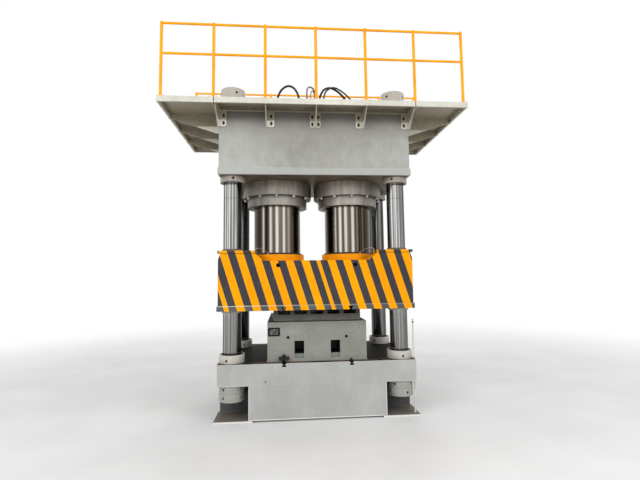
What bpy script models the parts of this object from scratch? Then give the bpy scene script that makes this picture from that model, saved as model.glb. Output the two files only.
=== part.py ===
"""Four-column hydraulic press with two rams, at its real size in metres, +Z up.

The origin is on the floor, midway between the columns. +X is the press's right side,
and -Y is its front. The slide rests on a closed tool, which is its lowest position,
and travels straight up from there.
"""
import math

import bmesh
import bpy
from mathutils import Matrix, Vector

# Fits
SEAT_GAP = 0.0003
RUNNING_GAP = 0.0006
CUT_OVERRUN = 0.020
WELD_DISTANCE = 0.00001

# Columns
COLUMN_PITCH_X = 2.620
COLUMN_SETBACK = 0.225
COLUMN_RADIUS = 0.140
THREAD_RADIUS = 0.135
COLUMN_END_CHAMFER = 0.012
COLUMN_TAIL = 0.015
COLUMN_SEGMENTS = 16

# Ring nuts on the columns
NUT_RADIUS = 0.1925
BED_RING_HEIGHT = 0.125
BED_NUT_HEIGHT = 0.120
CROWN_RING_HEIGHT = 0.098
CROWN_NUT_HEIGHT = 0.325
SPANNER_HOLE_RADIUS = 0.013
SPANNER_HOLE_DEPTH = 0.035
SPANNER_HOLES = 4
SPANNER_HOLE_SEGMENTS = 5
BED_RING_HOLE_SHARE = 0.40
NUT_HOLE_SHARE = 0.50
CROWN_RING_HOLE_SHARE = 0.62
CROWN_NUT_HOLE_SHARE = 0.72
# Facets by which each nut was left turned when it was tightened
BED_RING_TURNS = {"front_left": 2, "front_right": 1, "rear_left": 3, "rear_right": 3}
BED_NUT_TURNS = {"front_left": 3, "front_right": 3, "rear_left": 1, "rear_right": 2}
BED_LOCKNUT_TURNS = {"front_left": 2, "front_right": 2, "rear_left": 3, "rear_right": 1}
CROWN_RING_TURNS = {"front_left": 0, "front_right": 4, "rear_left": 2, "rear_right": 1}
CROWN_NUT_TURNS = {"front_left": 1, "front_right": 3, "rear_left": 0, "rear_right": 2}

# Bed
BED_WIDTH = 3.040
BED_DEPTH = 1.880
FOOT_THICKNESS = 0.030
PEDESTAL_HEIGHT = 0.490
BLOCK_HEIGHT = 0.320
NOTCH_PLAY_X = 0.0775
NOTCH_PLAY_Y = 0.0225
NOTCH_FILLET = 0.045
NOTCH_FILLET_STEPS = 2
BED_EDGE = 0.012
FOOT_REACH = 0.030
FOOT_TUCK = 0.062
FOOT_BACK_TUCK = 0.045
FOOT_BITE = 0.004
T_SLOT_PITCH = 1.024
T_SLOT_NECK = 0.028
T_SLOT_HEAD = 0.060
T_SLOT_HEAD_HEIGHT = 0.026
T_SLOT_DEPTH = 0.052

# Crown
BED_TO_CROWN = 2.870
CROWN_WIDTH = 3.000
CROWN_HEIGHT = 1.085
CROWN_FLANGE_HEIGHT = 0.108
CROWN_FLANGE_PROUD = 0.014
CROWN_EDGE = 0.010
CROWN_FLANGE_EDGE = 0.008
WINDOW_WIDTH = 0.300
WINDOW_HEIGHT = 0.450
WINDOW_SILL = 0.127
WINDOW_REACH = 0.320

# Tool in the press
DIE_WIDTH = 1.530
DIE_SETBACK = 0.115
DIE_HEIGHT = 0.597
DIE_PLINTH_HEIGHT = 0.022
DIE_PLINTH_PROUD = 0.008
DIE_WINDOW_PITCH = 0.557
DIE_WINDOW_WIDTH = 0.146
DIE_WINDOW_HEIGHT = 0.257
DIE_WINDOW_SILL = 0.052
DIE_WINDOW_STEP = 0.056
DIE_WINDOW_REACH = 0.450
DIE_WINDOW_STEP_REACH = 0.070
DIE_HOLE_PITCH = 0.900
DIE_HOLE_DROP = 0.234
DIE_HOLE_RADIUS = 0.020
DIE_HOLE_DEPTH = 0.100
DIE_HOLE_SEGMENTS = 8
PUNCH_HEIGHT = 0.018
PUNCH_INSET = 0.045
TOOL_PLATE_WIDTH = 1.345
TOOL_PLATE_HEIGHT = 0.095
PARALLEL_HEIGHT = 0.072
PARALLEL_WIDTH = 0.068
PARALLEL_PITCH = 0.255
PARALLELS = 6

# Clamps that hold the tool to the bed
STUD_RADIUS = 0.012
STUD_SEGMENTS = 8
STUD_SETBACK = 0.052
CLAMP_BAR_WIDTH = 0.152
CLAMP_BAR_HEIGHT = 0.040
CLAMP_BAR_NOSE = 0.0423
CLAMP_BAR_RISE = 0.040
CLAMP_POCKET_DEPTH = 0.050
CLAMP_NUT_RADIUS = 0.026
CLAMP_NUT_HEIGHT = 0.032
CLAMP_NUT_SIDES = 6
STUD_TIP = 0.014

# Slide
SLIDE_WIDTH = 3.000
SLIDE_SETBACK = 0.015
SLIDE_BODY_HEIGHT = 0.757
HOUSING_RISE = 0.116
HOUSING_WIDTH = 0.550
HOUSING_DEPTH = 0.425
HOUSING_SLOPE_X = 0.135
HOUSING_SLOPE_Y = 0.025
HOUSING_CHAMFER_WIDTH = 0.035
HOUSING_CHAMFER_HEIGHT = 0.090
LIP_HEIGHT = 0.041
LIP_PROUD = 0.009
SLIDE_FLANGE_HEIGHT = 0.078
SLIDE_FLANGE_PROUD = 0.016
LIFTING_HOLE_PITCH = 1.190
LIFTING_HOLE_DROP = 0.072
LIFTING_HOLE_RADIUS = 0.031
LIFTING_HOLE_DEPTH = 0.080
LIFTING_HOLE_SEGMENTS = 8

# Guide bushes in the slide's corners
BUSH_WALL = 0.025
BUSH_COLLAR_HEIGHT = 0.035
BUSH_COLLAR_WALL = 0.018
BUSH_TAIL_HEIGHT = 0.038
STROKE = 0.700

# Cylinders and rams
CYLINDER_PITCH = 1.240
RAM_RADIUS = 0.400
RAM_HEADROOM = 0.150
RAM_EDGE = 0.010
RAM_SEGMENTS = 24
RAM_FLANGE_RADIUS = 0.460
RAM_FLANGE_HEIGHT = 0.120
RAM_COLLAR_WALL = 0.020
RAM_COLLAR_HEIGHT = 0.030
BARREL_RADIUS = 0.595
BARREL_HEIGHT = 0.235
CYLINDER_RADIUS = 0.500
CYLINDER_CROWN_RISE = 0.055
CYLINDER_ROOF = 0.140
RAM_BORE_PLAY = 0.012
PORT_RADIUS = 0.045
GLAND_RADIUS = 0.515
GLAND_HEIGHT = 0.165
HEAD_RADIUS = 0.440
HEAD_HEIGHT = 0.070
HEAD_BOSS_RADIUS = 0.150
HEAD_BOSS_HEIGHT = 0.080
HEAD_SEGMENTS = 16

# Oil lines on top of the crown
FITTING_RADIUS = 0.027
FITTING_HEIGHT = 0.045
FITTING_SIDES = 6
HEAD_FITTING_REACH = 0.385
MANIFOLD_BAR_WIDTH = 0.640
MANIFOLD_BAR_DEPTH = 0.200
MANIFOLD_BAR_FRONT = 0.700
MANIFOLD_HEIGHT = 0.150
MANIFOLD_SPINE_WIDTH = 0.160
MANIFOLD_SPINE_END = 0.150
HOSE_RADIUS = 0.018
LOOP_HOSE_RADIUS = 0.014
HOSE_STUB = 0.060
HOSE_STEP = 0.096
HOSE_BEVEL_STEPS = 2
HOSE_A_PORT = 0.240
LOOP_PORT = 0.110
LOOP_PORT_BACK = 0.080
HOSE_C_PORT = 0.105

# Platform round the crown
WALKWAY_FRONT = 0.336
WALKWAY_SIDE = 0.850
CHANNEL_HEIGHT = 0.080
CHANNEL_WEB = 0.006
CHANNEL_FLANGE = 0.043
CHANNEL_LIP = 0.008
DECK_THICKNESS = 0.005
SECTION_OVERHANG = 0.018
SECTION_GAP = 0.012
BRACKET_PLATE = 0.012
BRACKET_CORNER = 0.022
BRACKET_WIDTH = 0.125
MIDDLE_BRACKET_WIDTH = 0.170
BRACKET_DROP = 0.245
BRACKET_PITCH = 0.767
GUSSET_THICKNESS = 0.014
GUSSET_TOE = 0.012
BRACKET_TOE_LENGTH = 0.060
SIDE_BRACKET_TOE_LENGTH = 0.085
SIDE_BRACKET_PITCH = 0.620
BRACKETS_PER_SIDE = 3

# Railing
RAILING_POSTS = 7
RAILING_SETBACK = 0.042
POST_RADIUS = 0.023
RAIL_RADIUS = 0.019
TUBE_SEGMENTS = 6
MID_RAIL_HEIGHT = 0.680
TOP_RAIL_HEIGHT = 1.150
POST_CAP = 0.006
POST_FOOT_WIDTH = 0.150
POST_FOOT_DEPTH = 0.110
POST_FOOT_THICKNESS = 0.008

# Thin pipe at the bed's front right corner
PIPE_RADIUS = 0.0135
PIPE_SEGMENTS = 8
PIPE_EDGE_X = 0.027
PIPE_EDGE_Y = 0.070
PIPE_RISE = 0.610

# Grease lines from the guide housings to the ram flanges
GREASE_LINE_RADIUS = 0.005
GREASE_LINE_STEP = 0.037
GREASE_LINE_HUMP = 0.062
GREASE_LINE_STUB = 0.030
GREASE_LINE_BEARING = math.radians(20)
GREASE_LINE_PEAK_SHARE = 0.3
GREASE_LINE_INSET = 0.030
GREASE_LINE_LANDING = 0.045

# Levels worked out from the floor up
COLUMN_PITCH_Y = BED_DEPTH - 2 * COLUMN_SETBACK
PEDESTAL_WIDTH = COLUMN_PITCH_X - 2 * (NUT_RADIUS + NOTCH_PLAY_X)
SIDE_ARM_DEPTH = COLUMN_PITCH_Y - 2 * (NUT_RADIUS + NOTCH_PLAY_Y)
CROWN_DEPTH = BED_DEPTH
SLIDE_DEPTH = BED_DEPTH - 2 * SLIDE_SETBACK
DIE_DEPTH = BED_DEPTH - 2 * DIE_SETBACK
TOOL_PLATE_DEPTH = DIE_DEPTH
BLOCK_BOTTOM = FOOT_THICKNESS + PEDESTAL_HEIGHT
BED_TOP = BLOCK_BOTTOM + BLOCK_HEIGHT
CROWN_BOTTOM = BED_TOP + BED_TO_CROWN
CROWN_TOP = CROWN_BOTTOM + CROWN_HEIGHT
DIE_BOTTOM = BED_TOP + SEAT_GAP
DIE_TOP = DIE_BOTTOM + DIE_HEIGHT
PUNCH_BOTTOM = DIE_TOP + SEAT_GAP
TOOL_PLATE_BOTTOM = PUNCH_BOTTOM + PUNCH_HEIGHT
PARALLEL_BOTTOM = TOOL_PLATE_BOTTOM + TOOL_PLATE_HEIGHT
SLIDE_BOTTOM = PARALLEL_BOTTOM + PARALLEL_HEIGHT + SEAT_GAP
SADDLE_TOP = SLIDE_BOTTOM + SLIDE_BODY_HEIGHT
HOUSING_TOP = SADDLE_TOP + HOUSING_RISE
LIP_TOP = HOUSING_TOP + LIP_HEIGHT
RAM_FOOT = SADDLE_TOP + SEAT_GAP
RAM_FLANGE_TOP = RAM_FOOT + RAM_FLANGE_HEIGHT
BARREL_TOP = CROWN_BOTTOM - SEAT_GAP
BARREL_BOTTOM = BARREL_TOP - BARREL_HEIGHT
GLAND_TOP = BARREL_BOTTOM - SEAT_GAP
CYLINDER_TOP = CROWN_TOP + CYLINDER_CROWN_RISE
HEAD_BOTTOM = CYLINDER_TOP + SEAT_GAP
CYLINDER_ROOF_LEVEL = CYLINDER_TOP - CYLINDER_ROOF
RAM_LENGTH = CYLINDER_ROOF_LEVEL - RAM_HEADROOM - STROKE - RAM_FOOT
DECK_TOP = CROWN_TOP
CHANNEL_BOTTOM = DECK_TOP - DECK_THICKNESS - CHANNEL_HEIGHT
RAILING_BOTTOM = DECK_TOP + SEAT_GAP
MANIFOLD_BOTTOM = CROWN_TOP + SEAT_GAP
MANIFOLD_TOP = MANIFOLD_BOTTOM + MANIFOLD_HEIGHT

# Places of what repeats
COLUMN_PLACES = {
    "front_left": (-COLUMN_PITCH_X / 2, -COLUMN_PITCH_Y / 2),
    "front_right": (COLUMN_PITCH_X / 2, -COLUMN_PITCH_Y / 2),
    "rear_left": (-COLUMN_PITCH_X / 2, COLUMN_PITCH_Y / 2),
    "rear_right": (COLUMN_PITCH_X / 2, COLUMN_PITCH_Y / 2),
}
CYLINDER_PLACES = {"left": -CYLINDER_PITCH / 2, "right": CYLINDER_PITCH / 2}
SIDES = {"left": -1, "right": 1}
BUSH_RADIUS = COLUMN_RADIUS + RUNNING_GAP + BUSH_WALL
FULL_TURN = 2 * math.pi
SHARP_ANGLE = math.radians(35)


def clear_scene():
    for stale in list(bpy.data.objects):
        bpy.data.objects.remove(stale, do_unlink=True)


def finish(name, colour, roughness, metallic):
    """A plain material for one kind of surface."""
    material = bpy.data.materials.new(name)
    material.use_nodes = True
    shader = material.node_tree.nodes["Principled BSDF"]
    shader.inputs["Base Color"].default_value = (*colour, 1.0)
    shader.inputs["Roughness"].default_value = roughness
    shader.inputs["Metallic"].default_value = metallic
    return material


def make_finishes():
    return {
        "crown_paint": finish("crown_paint", (0.40, 0.41, 0.38), 0.45, 0.0),
        "bed_paint": finish("bed_paint", (0.50, 0.51, 0.50), 0.45, 0.0),
        "cream_paint": finish("cream_paint", (0.68, 0.67, 0.57), 0.50, 0.0),
        "safety_yellow": finish("safety_yellow", (1.0, 0.40, 0.0), 0.45, 0.0),
        "column_steel": finish("column_steel", (0.62, 0.62, 0.63), 0.18, 1.0),
        "ram_steel": finish("ram_steel", (0.60, 0.56, 0.52), 0.15, 1.0),
        "turned_steel": finish("turned_steel", (0.36, 0.34, 0.32), 0.38, 1.0),
        "nut_steel": finish("nut_steel", (0.52, 0.50, 0.47), 0.55, 0.4),
        "tool_paint": finish("tool_paint", (0.28, 0.29, 0.26), 0.50, 0.0),
        "tool_steel": finish("tool_steel", (0.24, 0.22, 0.20), 0.50, 0.8),
        "black_steel": finish("black_steel", (0.03, 0.03, 0.03), 0.50, 0.6),
        "bronze": finish("bronze", (0.30, 0.20, 0.12), 0.50, 0.9),
        "hose_rubber": finish("hose_rubber", (0.02, 0.02, 0.02), 0.55, 0.0),
        "pipe_paint": finish("pipe_paint", (0.62, 0.61, 0.55), 0.50, 0.0),
    }


def add_object(name, bm, material=None, at=(0, 0, 0), smooth=False):
    """Turn a bmesh into a named object of the scene."""
    bmesh.ops.recalc_face_normals(bm, faces=bm.faces)
    mesh = bpy.data.meshes.new(name)
    bm.to_mesh(mesh)
    bm.free()
    if material:
        mesh.materials.append(material)
    if smooth:
        mesh.shade_smooth()
        mesh.set_sharp_from_angle(angle=SHARP_ANGLE)
    thing = bpy.data.objects.new(name, mesh)
    thing.location = at
    bpy.context.scene.collection.objects.link(thing)
    return thing


def as_helper(thing):
    """Cutters and additions shape other pieces and are not pieces themselves."""
    thing.hide_render = True
    thing.display_type = "WIRE"
    return thing


def combine(target, helper, operation):
    helper = as_helper(helper)
    step = target.modifiers.new(helper.name, "BOOLEAN")
    step.operation = operation
    step.solver = "EXACT"
    step.object = helper
    return target


def carve(target, cutter):
    return combine(target, cutter, "DIFFERENCE")


def weld(target, addition):
    return combine(target, addition, "UNION")


def break_edges(target, width):
    """A small chamfer along every square edge that the piece has so far."""
    step = target.modifiers.new("broken_edges", "BEVEL")
    step.width = width
    step.segments = 1
    step.limit_method = "ANGLE"
    step.angle_limit = math.radians(60)
    return target


def baked_mesh(thing, name):
    """The mesh of an object with its modifiers applied, to share among copies."""
    graph = bpy.context.evaluated_depsgraph_get()
    mesh = bpy.data.meshes.new_from_object(thing.evaluated_get(graph))
    mesh.name = name
    return mesh


def add_box(bm, low, high):
    size = Vector(high) - Vector(low)
    middle = (Vector(high) + Vector(low)) / 2
    placing = Matrix.Translation(middle) @ Matrix.Diagonal((*size, 1))
    bmesh.ops.create_cube(bm, size=1.0, matrix=placing)


def box(name, low, high, material=None, at=(0, 0, 0)):
    bm = bmesh.new()
    add_box(bm, low, high)
    return add_object(name, bm, material, at)


def boxes(name, corners, material=None, at=(0, 0, 0)):
    bm = bmesh.new()
    for low, high in corners:
        add_box(bm, low, high)
    return add_object(name, bm, material, at)


def add_prism(bm, outline, along, start, end):
    """Extrude an outline: 'x' and 'y' outlines hold (other, z), 'z' outlines (x, y)."""
    def place(u, v, w):
        return {"x": (w, u, v), "y": (u, w, v), "z": (u, v, w)}[along]

    face = bm.faces.new([bm.verts.new(place(u, v, start)) for u, v in outline])
    grown = bmesh.ops.extrude_face_region(bm, geom=[face])
    moved = [part for part in grown["geom"] if isinstance(part, bmesh.types.BMVert)]
    bmesh.ops.translate(bm, verts=moved, vec=Vector(place(0, 0, end - start)))


def prisms(name, outlines, along, start, end, material=None, at=(0, 0, 0)):
    bm = bmesh.new()
    for outline in outlines:
        add_prism(bm, outline, along, start, end)
    return add_object(name, bm, material, at)


def add_spin(bm, profile, segments, placing=None):
    """Spin a profile of (radius, height) points about Z. It may start and end on the axis."""
    points = [bm.verts.new((radius, 0, height)) for radius, height in profile]
    pairs = list(zip(points, points[1:]))
    if profile[0][0] > 0 or profile[-1][0] > 0:
        pairs.append((points[-1], points[0]))
    edges = [bm.edges.new(pair) for pair in pairs]
    spun = bmesh.ops.spin(bm, geom=points + edges, cent=(0, 0, 0), axis=(0, 0, 1),
                          angle=FULL_TURN, steps=segments, use_merge=True)
    rim = {part for part in spun["geom_last"] if isinstance(part, bmesh.types.BMVert)}
    verts = {v for v in bm.verts if v.link_faces and v.is_valid} | set(points) | rim
    fresh = [v for v in verts if v.is_valid and not v.tag]
    bmesh.ops.remove_doubles(bm, verts=fresh, dist=WELD_DISTANCE)
    fresh = [v for v in bm.verts if not v.tag]
    if placing:
        bmesh.ops.transform(bm, matrix=placing, verts=fresh)
    for vert in fresh:
        vert.tag = True


def turned(name, profile, segments, material=None, at=(0, 0, 0)):
    bm = bmesh.new()
    add_spin(bm, profile, segments)
    return add_object(name, bm, material, at, smooth=True)


def bar_profile(radius, bottom, top):
    return [(0, bottom), (radius, bottom), (radius, top), (0, top)]


def ring_profile(inner, outer, bottom, top):
    return [(inner, bottom), (outer, bottom), (outer, top), (inner, top)]


def bars(name, radius, bottom, top, segments, placings, material=None, at=(0, 0, 0)):
    """Like round bars in one mesh, each set by its own matrix."""
    bm = bmesh.new()
    for placing in placings:
        add_spin(bm, bar_profile(radius, bottom, top), segments, placing)
    return add_object(name, bm, material, at, smooth=True)


def smooth_route(points, step):
    """Straight over the first and the last stretch, with a smooth curve between them."""
    points = [Vector(point) for point in points]
    route = [points[0]]
    for before, start, end, after in zip(points, points[1:], points[2:], points[3:]):
        count = max(1, round((end - start).length / step))
        for index in range(count):
            t = index / count
            route.append(0.5 * (2 * start + (end - before) * t
                                + (2 * before - 5 * start + 4 * end - after) * t ** 2
                                + (3 * start - before - 3 * end + after) * t ** 3))
    return [*route, *points[-2:]]


def flexible_line(name, points, radius, step, material):
    """A hose or a thin tube along a smooth route, closed at both ends."""
    route = smooth_route(points, step)
    curve = bpy.data.curves.new(name, "CURVE")
    curve.dimensions = "3D"
    curve.bevel_depth = radius
    curve.bevel_resolution = HOSE_BEVEL_STEPS
    curve.use_fill_caps = True
    curve.materials.append(material)
    spline = curve.splines.new("POLY")
    spline.points.add(len(route) - 1)
    for point, place in zip(spline.points, route):
        point.co = (*place, 1.0)
    thing = bpy.data.objects.new(name, curve)
    bpy.context.scene.collection.objects.link(thing)
    return thing


def round_corner(corner, before, after, radius, steps):
    """Arc points that replace a square corner between two neighbouring points."""
    corner, before, after = Vector(corner), Vector(before), Vector(after)
    towards_before = (before - corner).normalized()
    towards_after = (after - corner).normalized()
    centre = corner + (towards_before + towards_after) * radius
    points = []
    for index in range(steps + 1):
        angle = math.pi / 2 * index / steps
        points.append(centre - towards_after * radius * math.cos(angle)
                      - towards_before * radius * math.sin(angle))
    return [tuple(point) for point in points]


def t_slot_outline(centre, face, into):
    """An upside-down T cut into a flat face; 'into' is +1 or -1, the way it goes."""
    neck, head = T_SLOT_NECK / 2, T_SLOT_HEAD / 2
    mouth = face - into * CUT_OVERRUN
    shoulder = face + into * (T_SLOT_DEPTH - T_SLOT_HEAD_HEIGHT)
    floor = face + into * T_SLOT_DEPTH
    return [(centre - neck, mouth), (centre + neck, mouth), (centre + neck, shoulder),
            (centre + head, shoulder), (centre + head, floor), (centre - head, floor),
            (centre - head, shoulder), (centre - neck, shoulder)]


def t_slots(name, depth, face, into):
    outlines = [t_slot_outline(side * T_SLOT_PITCH / 2, face, into) for side in (-1, 1)]
    reach = depth / 2 + CUT_OVERRUN
    return prisms(name, outlines, "y", -reach, reach)


def column_bores(name, radius, bottom, top):
    placings = [Matrix.Translation((x, y, 0)) for x, y in COLUMN_PLACES.values()]
    return bars(name, radius, bottom - CUT_OVERRUN, top + CUT_OVERRUN, COLUMN_SEGMENTS,
                placings)


def notch_outline(side_x, side_y):
    """One corner notch of the bed, seen from above, with its inner corner rounded."""
    inner_x, inner_y = PEDESTAL_WIDTH / 2, SIDE_ARM_DEPTH / 2
    outer_x = BED_WIDTH / 2 + CUT_OVERRUN
    outer_y = BED_DEPTH / 2 + CUT_OVERRUN
    radius = min(NOTCH_FILLET, outer_x - inner_x, outer_y - inner_y)
    arc = round_corner((inner_x, inner_y), (inner_x, outer_y), (outer_x, inner_y),
                       radius, NOTCH_FILLET_STEPS)
    outline = [(inner_x, outer_y), *arc, (outer_x, inner_y), (outer_x, outer_y)]
    return [(side_x * x, side_y * y) for x, y in outline]


def foot_corners(side_x, side_y):
    """Low and high corners of the plate that carries one corner of the bed."""
    xs = sorted((side_x * (PEDESTAL_WIDTH / 2 - FOOT_TUCK),
                 side_x * (BED_WIDTH / 2 + FOOT_REACH)))
    ys = sorted((side_y * (SIDE_ARM_DEPTH / 2 - FOOT_BACK_TUCK),
                 side_y * (BED_DEPTH / 2 + FOOT_REACH / 2)))
    return (xs[0], ys[0], 0), (xs[1], ys[1], FOOT_THICKNESS)


def pipe_place():
    return BED_WIDTH / 2 - PIPE_EDGE_X, -BED_DEPTH / 2 + PIPE_EDGE_Y


def make_bed(finishes):
    """Block with a flat top, two T-slots and a bore for each column."""
    half_x, half_y = BED_WIDTH / 2, BED_DEPTH / 2
    bed = box("bed", (-half_x, -half_y, BLOCK_BOTTOM), (half_x, half_y, BED_TOP),
              finishes["bed_paint"])
    break_edges(bed, BED_EDGE)
    carve(bed, column_bores("bed_bores", COLUMN_RADIUS, BLOCK_BOTTOM, BED_TOP))
    carve(bed, t_slots("bed_t_slots", BED_DEPTH, BED_TOP, -1))
    hole = [Matrix.Translation((*pipe_place(), 0))]
    carve(bed, bars("bed_pipe_hole", PIPE_RADIUS + RUNNING_GAP,
                    BLOCK_BOTTOM - CUT_OVERRUN, BED_TOP + CUT_OVERRUN, PIPE_SEGMENTS, hole))


def make_pedestal(finishes):
    """Cross under the block, with a notch for the nuts and a foot plate at each corner."""
    half_x, half_y = BED_WIDTH / 2, BED_DEPTH / 2
    pedestal = box("pedestal", (-half_x, -half_y, FOOT_THICKNESS - FOOT_BITE),
                   (half_x, half_y, BLOCK_BOTTOM - SEAT_GAP), finishes["bed_paint"])
    corners = [(side_x, side_y) for side_x in (-1, 1) for side_y in (-1, 1)]
    notches = [notch_outline(*corner) for corner in corners]
    carve(pedestal, prisms("bed_notches", notches, "z", FOOT_THICKNESS - CUT_OVERRUN,
                           BLOCK_BOTTOM + CUT_OVERRUN))
    weld(pedestal, boxes("bed_feet", [foot_corners(*corner) for corner in corners]))


def window_corners(side):
    """Upright opening in an end wall, into the hollow behind it."""
    face = CROWN_WIDTH / 2
    xs = sorted((side * (face + CUT_OVERRUN), side * (face - WINDOW_REACH)))
    low = CROWN_FLANGE_HEIGHT + WINDOW_SILL
    return ((xs[0], -WINDOW_WIDTH / 2, low),
            (xs[1], WINDOW_WIDTH / 2, low + WINDOW_HEIGHT))


def make_crown(finishes):
    """Welded box that carries both cylinders, with a flange plate round its foot."""
    half_x, half_y = CROWN_WIDTH / 2, CROWN_DEPTH / 2
    at = (0, 0, CROWN_BOTTOM)
    crown = box("crown", (-half_x, -half_y, CROWN_FLANGE_HEIGHT / 2),
                (half_x, half_y, CROWN_HEIGHT), finishes["crown_paint"], at)
    break_edges(crown, CROWN_EDGE)
    proud = CROWN_FLANGE_PROUD
    flange = box("crown_flange", (-half_x - proud, -half_y - proud, 0),
                 (half_x + proud, half_y + proud, CROWN_FLANGE_HEIGHT), at=at)
    weld(crown, break_edges(flange, CROWN_FLANGE_EDGE))
    windows = [window_corners(side) for side in SIDES.values()]
    carve(crown, boxes("crown_windows", windows, at=at))
    carve(crown, column_bores("crown_bores", COLUMN_RADIUS, CROWN_BOTTOM, CROWN_TOP))
    placings = [Matrix.Translation((x, 0, 0)) for x in CYLINDER_PLACES.values()]
    carve(crown, bars("crown_cylinder_bores", CYLINDER_RADIUS + SEAT_GAP,
                      CROWN_BOTTOM - CUT_OVERRUN, CROWN_TOP + CUT_OVERRUN, RAM_SEGMENTS,
                      placings))


def column_profile():
    """Ground between the rings, and threaded where the nuts grip it."""
    bottom = BLOCK_BOTTOM - 2 * (BED_NUT_HEIGHT + SEAT_GAP) - COLUMN_TAIL
    top = CROWN_TOP + CROWN_NUT_HEIGHT - COLUMN_TAIL
    lower_shoulder = BED_TOP + BED_RING_HEIGHT + COLUMN_TAIL
    upper_shoulder = CROWN_BOTTOM - CROWN_RING_HEIGHT - COLUMN_TAIL
    tip = THREAD_RADIUS - COLUMN_END_CHAMFER
    return [(0, bottom), (tip, bottom), (THREAD_RADIUS, bottom + COLUMN_END_CHAMFER),
            (THREAD_RADIUS, lower_shoulder), (COLUMN_RADIUS, lower_shoulder),
            (COLUMN_RADIUS, upper_shoulder), (THREAD_RADIUS, upper_shoulder),
            (THREAD_RADIUS, top - COLUMN_END_CHAMFER), (tip, top), (0, top)]


def spanner_nut_mesh(name, height, hole_share, material):
    """Round nut with blind holes in its rim for a pin spanner."""
    profile = ring_profile(THREAD_RADIUS + SEAT_GAP, NUT_RADIUS, 0, height)
    nut = turned(f"{name}_blank", profile, COLUMN_SEGMENTS, material)
    # The holes sit in the middle of facets, square to them
    first = FULL_TURN / COLUMN_SEGMENTS / 2
    placings = []
    for index in range(SPANNER_HOLES):
        turn = Matrix.Rotation(first + FULL_TURN * index / SPANNER_HOLES, 4, "Z")
        lie_down = Matrix.Rotation(math.pi / 2, 4, "Y")
        placings.append(Matrix.Translation((0, 0, height * hole_share)) @ turn @ lie_down)
    carve(nut, bars(f"{name}_holes", SPANNER_HOLE_RADIUS, NUT_RADIUS - SPANNER_HOLE_DEPTH,
                    NUT_RADIUS + CUT_OVERRUN, SPANNER_HOLE_SEGMENTS, placings))
    mesh = baked_mesh(nut, name)
    as_helper(nut)
    return mesh


def place_nuts(name, mesh, bottom, turns):
    """One nut on each column, turned by whole facets so that its bore fits the thread."""
    for corner, (x, y) in COLUMN_PLACES.items():
        nut = bpy.data.objects.new(f"{name}_{corner}", mesh)
        nut.location = (x, y, bottom)
        nut.rotation_euler.z = turns[corner] * FULL_TURN / COLUMN_SEGMENTS
        bpy.context.scene.collection.objects.link(nut)


def make_columns(finishes):
    profile = column_profile()
    for corner, (x, y) in COLUMN_PLACES.items():
        turned(f"column_{corner}", profile, COLUMN_SEGMENTS, finishes["column_steel"],
               (x, y, 0))
    steel = finishes["nut_steel"]
    ring = spanner_nut_mesh("bed_ring", BED_RING_HEIGHT, BED_RING_HOLE_SHARE, steel)
    place_nuts("bed_ring", ring, BED_TOP + SEAT_GAP, BED_RING_TURNS)
    nut = spanner_nut_mesh("bed_nut", BED_NUT_HEIGHT, NUT_HOLE_SHARE, steel)
    nut_bottom = BLOCK_BOTTOM - SEAT_GAP - BED_NUT_HEIGHT
    place_nuts("bed_nut", nut, nut_bottom, BED_NUT_TURNS)
    place_nuts("bed_locknut", nut, nut_bottom - SEAT_GAP - BED_NUT_HEIGHT,
               BED_LOCKNUT_TURNS)
    ring = spanner_nut_mesh("crown_ring", CROWN_RING_HEIGHT, CROWN_RING_HOLE_SHARE, steel)
    place_nuts("crown_ring", ring, CROWN_BOTTOM - SEAT_GAP - CROWN_RING_HEIGHT,
               CROWN_RING_TURNS)
    nut = spanner_nut_mesh("crown_nut", CROWN_NUT_HEIGHT, CROWN_NUT_HOLE_SHARE, steel)
    place_nuts("crown_nut", nut, CROWN_TOP + SEAT_GAP, CROWN_NUT_TURNS)


def cylinder_profile():
    """Pot that hangs in the crown by its thick rim, open downwards for the ram."""
    bore = RAM_RADIUS + RAM_BORE_PLAY
    roof = CYLINDER_ROOF_LEVEL
    return [(bore, BARREL_BOTTOM), (BARREL_RADIUS, BARREL_BOTTOM),
            (BARREL_RADIUS, BARREL_TOP), (CYLINDER_RADIUS, BARREL_TOP),
            (CYLINDER_RADIUS, CYLINDER_TOP), (PORT_RADIUS, CYLINDER_TOP),
            (PORT_RADIUS, roof), (bore, roof)]


def make_head(name, x, finishes):
    """Cover on top of a cylinder, with a port boss and the fitting of one hose."""
    boss_top = HEAD_HEIGHT + HEAD_BOSS_HEIGHT
    profile = [(0, 0), (HEAD_RADIUS, 0), (HEAD_RADIUS, HEAD_HEIGHT),
               (HEAD_BOSS_RADIUS, HEAD_HEIGHT), (HEAD_BOSS_RADIUS, boss_top), (0, boss_top)]
    at = (x, 0, HEAD_BOTTOM)
    head = turned(name, profile, HEAD_SEGMENTS, finishes["turned_steel"], at)
    placing = [Matrix.Translation((0, -HEAD_FITTING_REACH, 0))]
    weld(head, bars(f"{name}_fitting", FITTING_RADIUS, HEAD_HEIGHT / 2,
                    HEAD_HEIGHT + FITTING_HEIGHT, FITTING_SIDES, placing, at=at))


def make_cylinders(finishes):
    gland_profile = ring_profile(RAM_RADIUS + RUNNING_GAP, GLAND_RADIUS,
                                 GLAND_TOP - GLAND_HEIGHT, GLAND_TOP)
    for side, x in CYLINDER_PLACES.items():
        cylinder = turned(f"cylinder_{side}", cylinder_profile(), RAM_SEGMENTS,
                          finishes["turned_steel"], (x, 0, 0))
        turned(f"gland_{side}", gland_profile, RAM_SEGMENTS, finishes["turned_steel"],
               (x, 0, 0))
        make_head(f"cylinder_head_{side}", x, finishes)


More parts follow.
